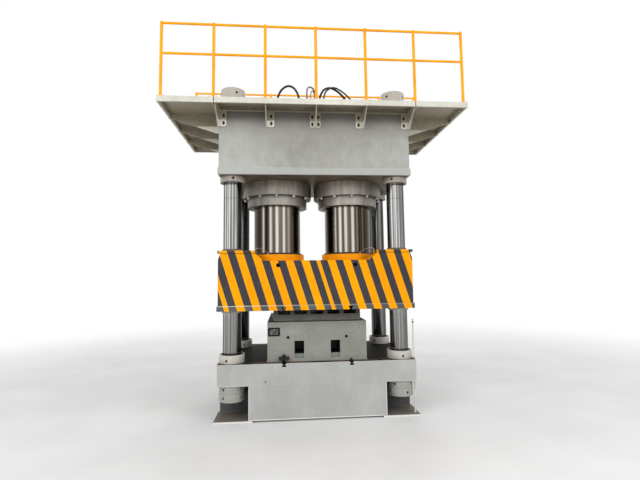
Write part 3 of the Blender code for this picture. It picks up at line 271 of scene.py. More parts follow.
def make_bed_paint():
    """Off-white paint with painted highlights on its edges, a machined top darkened as painted shade,
    bare slots painted dark as shade, and dirt with painted shade where the nuts stand.
    """
    f = Finish("bed_paint")
    x, y, z = f.parts(f.place)
    nx, ny, up = f.parts(f.facing)
    brush = f.clouds(34, 0.08, 4)
    fine = f.clouds(190, 0.05, 2, 3.0)
    patches = f.clouds(2.6, 0.8, 4, 7.0, 0.58)
    speckle = f.clouds(46, detail=3, shift=2.0)
    paint = f.ramp(
        brush * 0.14 + patches * 0.60 + speckle * 0.26, (0.32, (0.660, 0.662, 0.652)),
        (0.50, (0.700, 0.705, 0.697)), (0.66, (0.745, 0.750, 0.742)))
    warm = f.clouds(5.0, 0.7, 4, 21.0).spread(0.52, 0.75, 0, 0.30)
    paint = f.blend(warm, paint, (0.68, 0.665, 0.645))
    scuffs = f.clouds(17, 2.2, 5, 13.0, 0.62).spread(0.655, 0.70)
    drips = f.clouds(30, 0.06, 3, 31.0).spread(0.66, 0.74, 0, 0.4)
    paint = f.blend((scuffs | drips) * 0.32, paint, (0.52, 0.50, 0.47))
    # Painted highlight along the edges and along the feet's front edges, where the chamfers catch the
    # light
    rim = 0.012
    lower_edge = (abs(x) > PEDESTAL_SIDE) & (abs(z - (PEDESTAL_TOP + 0.004)) < rim)
    end_edge = (abs(x) > BED_HIGH.x - 0.016) & (z > PEDESTAL_TOP)
    arm_edge = (abs(x) < PEDESTAL_SIDE + 0.001) & (abs(x) > PEDESTAL_SIDE - rim) & (z < PEDESTAL_TOP)
    foot_highlight = (z < 0.040) & (up < 0.5)
    edges = (lower_edge | end_edge | arm_edge) * (up < 0.9)
    paint = f.blend(edges * (brush + 0.30), paint, (0.90, 0.90, 0.88))
    paint = f.blend(foot_highlight * 0.9, paint, (0.93, 0.93, 0.91))
    # Unpainted, dirty walls and floor of the corner notches, darkened further as painted shade in
    # these recesses
    wall = (
        ((abs(x) < PEDESTAL_SIDE + 0.01) & (abs(nx) > 0.7))
        | ((abs(x) > PEDESTAL_SIDE - 0.001) & (abs(y) < 0.51) & (abs(ny) > 0.7)))
    floor = (up > 0.9) & (z < 0.06)
    shade = (f.clouds(4, 0.5, 4, 44.0) - 0.5) * 0.4
    notch_shade_and_dirt = f.ramp(shade + 0.5, (0.40, (0.29, 0.29, 0.30)), (0.60, 0.4))
    notch_shade_and_dirt = f.blend(floor * 0.7, notch_shade_and_dirt, (0.42, 0.37, 0.32))
    paint = f.blend(((wall & (z < PEDESTAL_TOP - 0.001)) | floor) * 0.92, paint, notch_shade_and_dirt)
    # Machined top: oily steel, made darker still as painted shade under the slide and the tool
    stains = f.clouds(3.2, detail=6, shift=5.0, roughness=0.62)
    sweep = f.clouds(80, (1, 0.03, 1), 2, 8.0)
    steel = f.ramp(
        stains * 0.75 + sweep * 0.25, (0.34, (0.07, 0.067, 0.058)), (0.50, (0.11, 0.105, 0.09)),
        (0.62, (0.18, 0.165, 0.145)))
    rusty = abs(y).spread(0.74, 0.90, 0, 0.75) * stains.spread(0.40, 0.55)
    steel = f.blend(rusty, steel, (0.50, 0.39, 0.33))
    slot = (
        (abs(abs(x) - T_SLOT_X) < T_SLOT_HALF) & (z > BED_TOP - T_SLOT_DEPTH)
        & (abs(y) < BED_HIGH.y - 0.0005))
    bare = ((up > 0.9) & (z > BED_TOP - 0.001)) | slot
    colour = f.blend(bare, paint, steel)
    # Painted shade: the slots are near black deep inside
    colour = f.blend(slot, colour, (0.06, 0.06, 0.055))
    f.surface(
        colour, metallic=0.0, specular_ior_level=0.06,
        roughness=bare.spread(0, 1, 0.52, 0.62) + (fine - 0.5) * 0.16,
        normal=f.dents(brush * 0.7 + fine * 0.3, 0.0012, 0.4))


def make_crown_paint():
    """Pale grey paint with soft patches, painted shade towards the top and under the walkway, a
    brighter flange, and a machined underside darkened as painted shade.
    """
    f = Finish("crown_paint")
    x, _, z = f.parts(f.place)
    up = f.parts(f.facing)[2]
    patches = f.clouds(1.5, 1.1, 4, 2.0, 0.55)
    small = f.clouds(7, 0.75, 4, 11.0, 0.6)
    brush = f.clouds(60, 0.10, 3, 5.0)
    # Painted shade: the paint is darker towards the top. It is also lighter at the left end and darker
    # in the middle
    height = z.spread(CROWN_BOTTOM + 0.10, CROWN_HIGH.z - 0.05, 0.08, -0.13)
    height = height + x.spread(-1.2, -0.4, 0.09, -0.09) + x.spread(0.3, 1.0, 0.0, 0.09)
    paint = f.ramp(
        patches * 0.44 + small * 0.42 + brush * 0.14 + height, (0.28, (0.570, 0.565, 0.540)),
        (0.44, (0.620, 0.617, 0.595)), (0.58, (0.670, 0.670, 0.650)), (0.76, (0.715, 0.718, 0.700)))
    rust = f.clouds(2.6, 0.7, 5, 17.0).spread(0.58, 0.75, 0, 0.30)
    paint = f.blend(rust, paint, (0.66, 0.62, 0.58))
    touched = f.cells(3.4, 0.6, 4.0).spread(0.16, 0.24, 0.10, 0)
    paint = f.blend(touched, paint, (0.74, 0.745, 0.73))
    # Painted shadow of the walkway on the wall below it
    below_top = z - CROWN_HIGH.z + (small - 0.5) * 0.10
    dust = below_top.spread(-0.50, -0.28, 0.0, 0.40) | below_top.spread(-0.34, -0.17, 0.0, 0.98)
    paint = f.blend(dust, paint, (0.385, 0.375, 0.345))
    band = z < CROWN_BOTTOM + FLANGE_HEIGHT + 0.001
    paint = f.blend(band * 0.75, paint, (0.690, 0.697, 0.680))
    # Machined underside: dirty brown steel, darkened as painted shade
    under = (up < -0.9) & (z < CROWN_BOTTOM + 0.01)
    shaded_dirty_underside = f.ramp(
        f.clouds(4, detail=5, shift=9.0), (0.35, (0.27, 0.245, 0.20)), (0.65, (0.40, 0.37, 0.32)))
    colour = f.blend(under, paint, shaded_dirty_underside)
    f.surface(
        colour, metallic=under * 0.3, roughness=0.50 + (small - 0.5) * 0.22,
        normal=f.dents(small * 0.6 + brush * 0.4, 0.0015, 0.5))


def make_cream_paint():
    """Cream paint of the walkway, with a raised tread on its decks, and painted shade under them."""
    f = Finish("cream_paint")
    x, y, z = f.parts(f.place)
    nx, ny, up = f.parts(f.facing)
    patches = f.clouds(2.1, detail=4, shift=3.0)
    fine = f.clouds(34, 0.6, 3, 8.0)
    paint = f.ramp(
        patches * 0.6 + fine * 0.4, (0.30, (0.74, 0.735, 0.68)), (0.52, (0.815, 0.81, 0.76)),
        (0.70, (0.865, 0.862, 0.82)))
    dirt = f.clouds(6.5, 0.6, 6, 15.0, 0.65).spread(0.58, 0.72, 0, 0.5)
    paint = f.blend(dirt, paint, (0.66, 0.63, 0.56))
    # Olive primer under the deck and on the brackets, darkened as painted shade under the deck
    bracket = z < DECK_TOP - 0.092
    rim_x, rim_y = 2.335, 1.262
    below = ((up < 0.5) & (abs(x) < rim_x) & (abs(y) < rim_y)) | bracket
    olive_and_shade = f.ramp(
        patches * 0.5 + fine * 0.5, (0.35, (0.51, 0.475, 0.39)), (0.65, (0.61, 0.575, 0.485)))
    paint = f.blend(below * 0.92, paint, olive_and_shade)
    # Painted highlight: the gussets' outer faces are lighter, where light falls on them
    gusset_x, gusset_y = 1.54, 0.958
    sloped = bracket & (
        ((abs(y) > gusset_y) & (abs(ny) > 0.5)) | ((abs(x) > gusset_x) & (abs(nx) > 0.5)))
    paint = f.blend(sloped * 0.75, paint, (0.68, 0.66, 0.60))
    # Bright round the lower bolts: rubbed paint, and painted light where the plates come out of the
    # deck's painted shadow, brighter on the left
    ragged = z + (fine - 0.5) * 0.06
    rubbed = ragged.spread(LOW_BOLT_WEAR_AND_LIGHT, LOW_BOLT_WEAR_AND_LIGHT + 0.020, 0.95, 0) * (1 - sloped)
    rubbed = rubbed * x.spread(-0.55, -0.2, 1.0, 0.62)
    paint = f.blend(rubbed, paint, (0.90, 0.89, 0.85))
    deck = (up > 0.9) & (z > DECK_TOP - 0.001)
    # Small raised bars that lie crosswise in turn, as on tread plate
    pitch = 0.034
    across = ((x + y) / pitch).fraction() - 0.5
    along = ((x - y) / pitch).fraction() - 0.5
    turned = (((x + y) / pitch - across - 0.5) + ((x - y) / pitch - along - 0.5)) * 0.5
    odd = turned.fraction() > 0.25
    long_way = abs(across) * (1 - odd) + abs(along) * odd
    short_way = abs(along) * (1 - odd) + abs(across) * odd
    bar = short_way.spread(0.07, 0.14, 1, 0) * long_way.spread(0.30, 0.40, 1, 0) * deck
    worn = f.clouds(1.4, detail=5, shift=25.0, roughness=0.6).spread(0.45, 0.65)
    tread = f.blend(worn * 0.6, (0.80, 0.785, 0.72), (0.60, 0.575, 0.52))
    tread = f.blend(bar * worn, tread, (0.74, 0.72, 0.68))
    colour = f.blend(deck, paint, tread)
    f.surface(
        colour, roughness=0.46 + (fine - 0.5) * 0.2 + dirt * 0.2,
        normal=f.dents(bar + fine * 0.12, 0.002, 0.6))


def make_striped_paint():
    """Yellow and dark grey slanting bands round the slide, machined steel below it."""
    f = Finish("striped_paint")
    x, y, z = f.parts(f.place)
    nx, ny, nz = f.parts(f.facing)
    side = abs(nx) > 0.7
    along = side * nx.sign() * y + (1 - side) * (0 - ny.sign()) * x
    # Bands lean, and s is how far right they would be at the height of the lips
    wobble = (f.clouds(7, shift=2.0) - 0.5) * 0.006
    lean, lip_height, pitch = 0.313, 2.351, 0.240
    s = along - lean * (lip_height - z) + wobble
    left_end, left_start, right_start = -1.625, 0.005, 0.171
    left = (s < left_start) * (((s - left_start) / pitch).fraction() < 0.512) * (s > left_end)
    middle = (s > -0.003) * (s < 0.058)
    right = (s > right_start) * (((s - right_start) / pitch).fraction() < 0.515)
    flat = abs(nz) > 0.75
    top = flat * (nz > 0) * (z > 1.9)
    yellow = left | middle | right | top
    patches = f.clouds(2.2, detail=4, shift=5.0)
    fine = f.clouds(55, detail=3, shift=9.0)
    bright = f.ramp(
        patches * 0.6 + fine * 0.4, (0.30, (0.95, 0.60, 0.0)), (0.52, (0.99, 0.655, 0.0)),
        (0.72, (1.0, 0.70, 0.02)))
    dark = f.ramp(
        patches * 0.5 + fine * 0.5, (0.30, (0.215, 0.215, 0.235)), (0.52, (0.255, 0.255, 0.275)),
        (0.72, (0.305, 0.305, 0.320)))
    colour = f.blend(yellow, dark, bright)
    # Painted highlight along the upper edge of the foot flange, rubbed dark bands on the flange, and a
    # painted shadow line under the lips
    ledge_highlight = abs(z - FOOT_FLANGE_TOP).spread(0.003, 0.008, 1, 0) * (flat < 0.5)
    ledge_highlight = ledge_highlight * x.spread(-1.2, 0.3, 0.78, 0.30)
    ledge_highlight = ledge_highlight * (1 - yellow * x.spread(-0.9, -0.3, 0.0, 0.8))
    foot_band = (z < FOOT_FLANGE_TOP) * (1 - yellow) * (flat < 0.5)
    colour = f.blend(foot_band * patches.spread(0.3, 0.6, 0.12, 0.42), colour, (0.46, 0.49, 0.50))
    colour = f.blend(ledge_highlight, colour, (0.90, 0.92, 0.88))
    lip_shadow = abs(z - (SLIDE_HIGH.z - 0.0445)).spread(0.003, 0.008, 1, 0)
    colour = f.blend(lip_shadow * 0.6, colour, (0.16, 0.15, 0.13))
    scuff = f.clouds(11, 1.6, 6, 31.0, 0.66).spread(0.635, 0.70, 0, 0.55)
    colour = f.blend(scuff, colour, (0.42, 0.37, 0.28))
    chips = f.clouds(75, shift=41.0).spread(0.70, 0.74, 0, 0.6)
    low_edge = z.spread(SLIDE_LOW.z + 0.01, SLIDE_LOW.z + 0.10, 1, 0.15)
    colour = f.blend(chips * low_edge, colour, (0.66, 0.64, 0.60))
    grime = f.clouds(3.5, detail=6, shift=51.0, roughness=0.65).spread(0.40, 0.70, 0, 0.55) * top
    colour = f.blend(grime, colour, (0.40, 0.33, 0.20))
    bare = flat * (nz < 0) * (z < SLIDE_LOW.z + 0.075)
    slot = (
        (abs(abs(x) - T_SLOT_X) < T_SLOT_HALF) * (z < SLIDE_LOW.z + T_SLOT_DEPTH)
        * (abs(y) < SLIDE_HIGH.y - 0.0005))
    steel = f.ramp(
        f.clouds(60, (0.03, 1, 1), 3, 7.0), (0.3, (0.36, 0.34, 0.32)), (0.7, (0.55, 0.53, 0.50)))
    colour = f.blend(bare | slot, colour, steel)
    # Painted shade: the slots are near black deep inside
    colour = f.blend(slot, colour, 0.03)
    # Thread inside the lifting holes
    hole = (
        (abs(abs(x) - LIFTING_HOLE_X) < LIFTING_HOLE_RADIUS)
        * (abs(z - LIFTING_HOLE_Z) < LIFTING_HOLE_RADIUS)
        * (abs(y) < 0.9245) * (abs(y) > 0.84))
    thread_pitch = 0.006
    thread = (y * (FULL_TURN / thread_pitch)).wave() * hole
    colour = f.blend(hole, colour, (0.15, 0.13, 0.10))
    f.surface(
        colour, metallic=bare * 0.7, roughness=0.42 + (fine - 0.5) * 0.16 + grime * 0.3,
        specular_ior_level=0.12, normal=f.dents(fine * 0.15 + thread * 0.5, 0.002, 0.6))


def make_rail_paint(name, deep, full):
    """Yellow gloss paint of tubes and flange rings."""
    f = Finish(name)
    patches = f.clouds(4.2, detail=4, shift=4.0)
    fine = f.clouds(60, shift=6.0)
    paint = f.ramp(patches * 0.6 + fine * 0.4, (0.32, deep), (0.60, full))
    chips = f.clouds(38, detail=4, shift=12.0, roughness=0.6).spread(0.66, 0.72, 0, 0.55)
    colour = f.blend(chips, paint, (0.52, 0.36, 0.15))
    f.surface(
        colour, roughness=0.38 + (fine - 0.5) * 0.15, specular_ior_level=0.18,
        normal=f.dents(fine, 0.0006, 0.5))


def make_plated_steel(name, shift, dark_from, streaks, level=0.52, left_dark=-64):
    """Ground and plated column with painted reflections: narrow upright streaks, bright streaks, and a
    painted dark side.
    """
    f = Finish(name)
    x, y, z = f.parts(f.place)
    angle = f.bearing(x, y)
    narrow = f.clouds(60, 0.008, 2, shift + 4.0)
    hair = f.clouds(150, 0.008, 1, shift + 9.0)
    tone = f.add_reflection_streaks(level + (narrow - 0.5) * 0.65 + (hair - 0.5) * 0.25, angle, streaks)
    # Painted shade: a dark side and dark flanks, with the limbs kept brighter
    shade = angle.spread(dark_from, dark_from + 9, 1.0, 0.42)
    shade = shade * angle.spread(62, 68, 1.0, 0.55)
    shade = shade * angle.spread(left_dark - 5, left_dark, 0.36, 1.0)
    tone = tone * (shade | abs(angle).spread(76, 83))
    # Painted reflection low between bed and slide: the tone is darker and flatter there. Below 0.133
    # above the bed's top it is very dark
    low = z.spread(SLIDE_LOW.z - 0.10, SLIDE_LOW.z + 0.05, 1.0, 0.0)
    tone = tone * (1 - low) + low * (0.27 + tone * 0.47)
    tone = tone * z.spread(BED_TOP + 0.133, BED_TOP + 0.143, 0.22, 1.0)
    colour = f.ramp(
        tone, (0.05, 0.07), (0.25, 0.25), (0.45, 0.45), (0.65, (0.65, 0.645, 0.635)), (0.95, 0.96))
    haze = f.clouds(3, 0.6, 4, shift + 14.0, 0.6).spread(0.50, 0.75, 0, 0.25)
    colour = f.blend(haze, colour, (0.48, 0.45, 0.41))
    groove = abs(z - COLUMN_GROOVE).spread(0.002, 0.006, 0.3, 0.0)
    colour = f.blend(groove, colour, 0.14)
    f.surface(
        colour, metallic=1.0, roughness=narrow.spread(0.35, 0.65, 0.14, 0.28),
        normal=f.dents(narrow, 0.0004, 0.20))


def make_ram_steel(name, shift, streaks, flanks):
    """Plated ram with painted reflections: a few bright upright streaks on warm grey, and brown flanks
    painted dark as shade.
    """
    f = Finish(name)
    x, y, z = f.parts(f.place)
    angle = f.bearing(x, y)
    narrow = f.clouds(20, 0.006, 2, shift + 3.0)
    hair = f.clouds(110, 0.006, 2, shift + 7.0)
    tone = f.add_reflection_streaks(0.38 + (narrow - 0.5) * 0.50 + (hair - 0.5) * 0.30, angle, streaks)
    shade = abs(angle).spread(66, 76)
    flank = 1.0
    for low, high, start, end in flanks:
        flank = angle.spread(low, high, start, end) * flank
    tone = tone * (flank | shade)
    colour = f.ramp(
        tone, (0.06, (0.12, 0.085, 0.06)), (0.25, (0.285, 0.24, 0.20)), (0.42, (0.455, 0.41, 0.365)),
        (0.60, (0.63, 0.60, 0.56)), (0.78, (0.82, 0.81, 0.785)), (0.96, (0.97, 0.97, 0.96)))
    rings = f.clouds(90, (0.02, 0.02, 1), 3, 5.0).spread(0.60, 0.68, 0, 0.5)
    foot = z.spread(0.12, 0.30, 1, 0)
    colour = f.blend(rings * foot, colour, (0.45, 0.34, 0.25))
    f.surface(
        colour, metallic=1.0, roughness=narrow.spread(0.35, 0.65, 0.16, 0.28),
        normal=f.dents(hair, 0.0003, 0.2))


def make_turned_steel(name, shift, dim, bright):
    """Brown-grey turned steel of the cylinders, with soft upright streaks, and painted shade on its
    flanks and undersides.
    """
    f = Finish(name)
    x, y, _ = f.parts(f.place)
    up = f.parts(f.facing)[2]
    streaks = f.clouds(7, 0.14, 3, shift)
    tool_marks = f.clouds(210, (0.01, 0.01, 1), 2, 7.0)
    colour = f.ramp(streaks * 0.85 + tool_marks * 0.15, (0.34, dim), (0.66, bright))
    # Painted shade: browner and darker on the flanks
    radius = (x * x + y * y) ** 0.5
    flank_shade = (abs(x) / (radius | 0.05)).spread(0.45, 1.0, 0.0, 0.62) * (abs(up) < 0.5)
    colour = f.blend(flank_shade, colour, (0.27, 0.24, 0.20))
    stain = f.clouds(5, 1.2, 5, 16.0, 0.6).spread(0.58, 0.74, 0, 0.35)
    colour = f.blend(stain, colour, (0.38, 0.33, 0.29))
    # Painted shade under the faces that look down
    colour = f.blend((up < -0.6) * 0.85, colour, (0.10, 0.085, 0.07))
    f.surface(
        colour, metallic=0.45, roughness=tool_marks.spread(0.3, 0.7, 0.38, 0.50),
        normal=f.dents(tool_marks, 0.0005, 0.25))


def make_nut_steel(name, pale, mid, brown, amount):
    """Turned nut, its pale coat speckled and run with rust."""
    f = Finish(name)
    up = f.parts(f.facing)[2]
    fine = f.clouds(110, detail=4, shift=3.0, roughness=0.7)
    runs = f.clouds(26, 0.10, 4, 8.0)
    rings = f.clouds(220, (0.01, 0.01, 1), 2, 5.0)
    colour = f.ramp(fine * 0.5 + runs * 0.5, (0.36, mid), (0.55, pale))
    rust = (runs * 0.6 + fine * 0.4).spread(0.50, 0.62, 0, amount)
    colour = f.blend(rust, colour, brown)
    marks = f.cells(38, shift=2.0).spread(0.10, 0.16, 0.5, 0)
    colour = f.blend(marks, colour, (0.40, 0.33, 0.28))
    # Painted shade under the faces that look down
    colour = f.blend((up < -0.6) * 0.8, colour, (0.13, 0.12, 0.11))
    f.surface(
        colour, metallic=0.15, roughness=0.50 + (fine - 0.5) * 0.3,
        normal=f.dents(rings * 0.5 + fine * 0.5, 0.0010, 0.5))


def make_tool_paint():
    """Grey-green primer of the lower tool, rubbed and smudged."""
    f = Finish("tool_paint")
    x, y, z = f.parts(f.place)
    up = f.parts(f.facing)[2]
    patches = f.clouds(3.0, detail=4, shift=6.0)
    fine = f.clouds(42, 0.5, 3, 2.0)
    paint = f.ramp(
        patches * 0.6 + fine * 0.4, (0.30, (0.520, 0.522, 0.492)), (0.52, (0.562, 0.564, 0.534)),
        (0.72, (0.61, 0.612, 0.582)))
    corner = x.spread(0.30, 0.45) * z.spread(DIE_HIGH.z - 0.22, DIE_HIGH.z - 0.10)
    smudge = f.clouds(16, 1.3, 6, 18.0, 0.68).spread(0.56, 0.66) * (0.15 + corner * 0.45)
    paint = f.blend(smudge, paint, (0.33, 0.335, 0.32))
    rubbed = f.clouds(13, 0.5, 5, 27.0, 0.6).spread(0.62, 0.70, 0, 0.15)
    paint = f.blend(rubbed, paint, (0.72, 0.725, 0.70))
    shadow = z.spread(DIE_HIGH.z - 0.13, DIE_HIGH.z - 0.01, 0.0, 0.40)
    paint = f.blend(shadow, paint, (0.40, 0.405, 0.385))
    # Block in the foot of each window, painted shade inside the windows, and the ground top
    block = (
        (abs(abs(x) - DIE_WINDOW_X) < DIE_WINDOW_HALF + 0.0005) * (z < DIE_LOW.z + 0.110)
        * (z > DIE_LOW.z + 0.05) * (abs(y) > 0.745) * (abs(y) < 0.800))
    paint = f.blend(block, paint, (0.58, 0.62, 0.60))
    window_shade = (
        (abs(abs(x) - DIE_WINDOW_X) < DIE_WINDOW_HALF) * (z < DIE_LOW.z + DIE_WINDOW_TOP)
        * (z > DIE_LOW.z + 0.107) * (abs(y) < 0.8245))
    paint = f.blend(window_shade, paint, (0.22, 0.22, 0.215))
    ground = (up > 0.9) * (z > DIE_HIGH.z - 0.002)
    steel = f.ramp(
        f.clouds(70, (0.03, 1, 1), 3, 7.0), (0.3, (0.38, 0.37, 0.35)), (0.7, (0.52, 0.51, 0.48)))
    colour = f.blend(ground, paint, steel)
    f.surface(
        colour, metallic=ground * 0.7, roughness=0.50 + (fine - 0.5) * 0.2 + smudge * 0.15,
        normal=f.dents(fine, 0.0009, 0.5))


def make_tool_steel():
    """Machined plate of the upper tool, oily and brown in patches."""
    f = Finish("tool_steel")
    z = f.parts(f.place)[2]
    stains = f.clouds(4.5, detail=6, shift=4.0, roughness=0.62)
    cut = f.clouds(150, (0.02, 1, 1), 2, 6.0)
    colour = f.ramp(
        stains * 0.7 + cut * 0.3, (0.34, (0.29, 0.285, 0.265)), (0.50, (0.355, 0.35, 0.325)),
        (0.66, (0.43, 0.42, 0.39)))
    upper = z.spread(DIE_HIGH.z + 0.02, DIE_HIGH.z + 0.10, 0.0, 0.5)
    colour = f.blend(upper, colour, (0.19, 0.185, 0.165))
    dark = z.spread(DIE_HIGH.z + 0.116, DIE_HIGH.z + 0.122)
    colour = f.blend(dark * 0.75, colour, (0.20, 0.19, 0.18))
    f.surface(
        colour, metallic=0.45, roughness=0.42 + (stains - 0.5) * 0.3, normal=f.dents(cut, 0.0006, 0.4))


def make_plain(name, pattern, dark, light, shine, **sockets):
    """Two tones in one pattern of clouds, which the shine follows: its average and change."""
    f = Finish(name)
    patches = f.clouds(*pattern)
    average, change = shine
    f.surface(
        f.ramp(patches, dark, light), roughness=average + (patches - 0.5) * change, **sockets)


def make_black_steel(name, level, shine):
    """Blackened steel with grey where it is handled."""
    f = Finish(name)
    patches = f.clouds(24, 1, 4, 5.0, 0.6)
    f.surface(
        f.ramp(patches, (0.38, level), (0.66, level + 0.10)), metallic=0.3,
        specular_ior_level=0.3, roughness=shine + (patches - 0.5) * 0.3,
        normal=f.dents(patches, 0.0006, 0.4))


def make_felt():
    """Grey felt of the wiper rings, fuzzy and oily."""
    f = Finish("wiper_felt")
    fibre = f.clouds(260, 0.6, 4, 2.0, 0.75)
    colour = f.ramp(
        fibre, (0.32, (0.20, 0.19, 0.18)), (0.52, (0.40, 0.38, 0.36)), (0.72, (0.62, 0.60, 0.57)))
    f.surface(colour, roughness=0.93, sheen_weight=0.4, normal=f.dents(fibre, 0.003, 1.0))


def make_bronze():
    """Pale bearing metal of the guide bushes."""
    f = Finish("bush_metal")
    turned = f.clouds(240, (0.01, 0.01, 1), 2, 5.0)
    stain = f.clouds(16, detail=4, shift=7.0)
    colour = f.ramp(turned * 0.4 + stain * 0.6, (0.35, (0.52, 0.50, 0.46)), (0.65, (0.76, 0.74, 0.69)))
    f.surface(colour, metallic=0.4, roughness=0.40 + (stain - 0.5) * 0.2)


def make_rubber(name, clean, dusty):
    """Hose cover with a fine cloth print and some dust."""
    f = Finish(name)
    x, y, z = f.parts(f.place)
    dust = f.clouds(18, detail=4, shift=3.0).spread(0.45, 0.75, 0, 0.6)
    threads = 900
    weave = ((x + z) * threads).wave() * ((y - z) * threads).wave()
    colour = f.blend(dust, clean, dusty)
    f.surface(colour, roughness=0.50 + dust * 0.25, normal=f.dents(weave, 0.0004, 0.4))


def make_pipe_paint():
    """Thin cream paint over the corner pipe and its clips."""
    f = Finish("pipe_paint")
    patches = f.clouds(14, 0.3, 4, 5.0)
    colour = f.ramp(patches, (0.35, (0.72, 0.71, 0.66)), (0.60, (0.86, 0.855, 0.81)))
    rust = f.clouds(20, 0.4, 4, 15.0).spread(0.62, 0.72, 0, 0.5)
    f.surface(f.blend(rust, colour, (0.45, 0.35, 0.27)), roughness=0.48 + (patches - 0.5) * 0.2)


# Shapes


def move(x, y, z):
    return Matrix.Translation((x, y, z))


def tip(degrees, axis):
    return Matrix.Rotation(math.radians(degrees), 4, axis)


def spokes(count, height=0.0, start=0.0):
    """Turns spaced evenly round the upright axis, at one height."""
    for index in range(count):
        yield move(0, 0, height) @ tip(360 * (index + start) / count, "Z")


def softened(profile, edge, closed=False):
    """Profile with each sharp corner cut back to a small two-step round."""
    points = [Vector(point) for point in profile]
    count = len(points)
    soft = []
    for index, point in enumerate(points):
        if not closed and index in (0, count - 1):
            soft.append(point)
            continue
        before = points[index - 1] - point
        after = points[(index + 1) % count] - point
        turn = math.pi - before.angle(after, math.pi)
        cut = min(edge, before.length * 0.45, after.length * 0.45)
        if turn < SHARP or cut <= 0:
            soft.append(point)
            continue
        first = point + before.normalized() * cut
        last = point + after.normalized() * cut
        middle = point.lerp((first + last) / 2, 0.42)
        soft.extend((first, middle, last))
    return soft


def add_turned(bm, profile, segments, matrix=Matrix(), closed=False, edge=0.0):
    """Revolve a profile of radius and height about the local upright axis."""
    if edge:
        profile = softened(profile, edge, closed)
    rings = []
    for radius, height in profile:
        if radius < 1e-6:
            rings.append([bm.verts.new(matrix @ Vector((0, 0, height)))])
            continue
        angles = [FULL_TURN * step / segments for step in range(segments)]
        rings.append([
            bm.verts.new(matrix @ Vector((radius * math.cos(a), radius * math.sin(a), height)))
            for a in angles])
    pairs = list(zip(rings, rings[1:]))
    if closed:
        pairs.append((rings[-1], rings[0]))
    for low, high in pairs:
        if len(low) == 1 and len(high) == 1:
            continue
        for step in range(segments):
            after = (step + 1) % segments
            if len(low) == 1:
                bm.faces.new((low[0], high[after], high[step]))
            elif len(high) == 1:
                bm.faces.new((low[step], low[after], high[0]))
            else:
                bm.faces.new((low[step], low[after], high[after], high[step]))


def ring_profile(inner, outer, low, high):
    return [(inner, low), (outer, low), (outer, high), (inner, high)]


def disc_profile(radius, low, high):
    return [(0, low), (radius, low), (radius, high), (0, high)]


def add_block(bm, low, high, edge):
    """Block with cut edges."""
    low, high = Vector(low), Vector(high)
    place = Matrix.Translation((low + high) / 2) @ Matrix.Diagonal((*(high - low), 1))
    made = bmesh.ops.create_cube(bm, size=1.0, matrix=place)
    edges = {e for v in made["verts"] for e in v.link_edges}
    bmesh.ops.bevel(
        bm, geom=list(edges), offset=edge, segments=2, affect="EDGES", profile=0.5)


def add_outline(bm, outline, low, high, edge):
    """Upright solid of one outline, from low to high, with its edges cut."""
    base = [bm.verts.new((x, y, low)) for x, y in outline]
    top = [bm.verts.new((x, y, high)) for x, y in outline]
    bm.faces.new(base[::-1])
    bm.faces.new(top)
    for index in range(len(outline)):
        after = (index + 1) % len(outline)
        bm.faces.new((base[index], base[after], top[after], top[index]))
    bmesh.ops.bevel(bm, geom=list(bm.edges), offset=edge, segments=2, affect="EDGES")


def smooth_line(points, step):
    """Points close together on one smooth line through the given ones."""
    points = [Vector(point) for point in points]
    ends = [2 * points[0] - points[1], *points, 2 * points[-1] - points[-2]]
    line = []
    for index in range(1, len(ends) - 2):
        p0, p1, p2, p3 = ends[index - 1:index + 3]
        steps = max(2, round((p2 - p1).length / step))
        for count in range(steps):
            t = count / steps
            line.append(0.5 * (2 * p1 + (p2 - p0) * t
                               + (2 * p0 - 5 * p1 + 4 * p2 - p3) * t * t
                               + (3 * p1 - p0 - 3 * p2 + p3) * t ** 3))
    line.append(points[-1])
    return line


def add_tube(bm, line, radius, sides, swell=None):
    """Tube along a line of points, closed at both ends."""
    line = [Vector(point) for point in line]
    across = None
    rings = []
    for index, point in enumerate(line):
        before = line[max(index - 1, 0)]
        after = line[min(index + 1, len(line) - 1)]
        along = (after - before).normalized()
        if across is None:
            across = along.orthogonal().normalized()
        across = (across - along * across.dot(along)).normalized()
        other = along.cross(across)
        size = radius * (swell(index) if swell else 1.0)
        angles = [FULL_TURN * step / sides for step in range(sides)]
        rings.append([bm.verts.new(point + size * (math.cos(a) * across + math.sin(a) * other))
                      for a in angles])
    for low, high in zip(rings, rings[1:]):
        for step in range(sides):
            after = (step + 1) % sides
            bm.faces.new((low[step], low[after], high[after], high[step]))
    bm.faces.new(rings[0][::-1])
    bm.faces.new(rings[-1])


def add_hexagon_bolt(bm, matrix, across, height):
    """Bolt head: a washer, and a six-sided head with its corners turned off."""
    radius = across / math.sqrt(3)
    add_turned(bm, disc_profile(across * 0.95, 0, height * 0.22), 20, matrix, edge=height * 0.06)
    add_turned(bm, [(0, height * 0.2), (radius, height * 0.2), (radius, height * 0.88),
                    (radius * 0.84, height), (0, height)], 6, matrix)


def add_socket_screw(bm, matrix, radius, height):
    """Cap screw: a round head with a socket."""
    add_turned(bm, [(radius, 0), (radius, height * 0.88), (radius * 0.9, height),
                    (radius * 0.58, height)], 20, matrix)
    add_turned(bm, [(radius * 0.58, height), (radius * 0.52, height * 0.45),
                    (0, height * 0.40)], 20, matrix)


def add_pin(bm, matrix, radius):
    """Small domed head."""
    add_turned(bm, [(radius, 0), (radius, radius * 0.35), (radius * 0.87, radius * 0.72),
                    (radius * 0.5, radius), (0, radius * 1.08)], 16, matrix)


def add_adapter(bm, x, y, z):
    """Hose adapter screwed into a port: a hexagon and a short neck."""
    add_turned(bm, [(0, -0.001), (0.0275, -0.001), (0.0275, 0.029), (0.022, 0.033),
                    (0.018, 0.033), (0.018, 0.0445), (0, 0.0445)], 6, move(x, y, z))


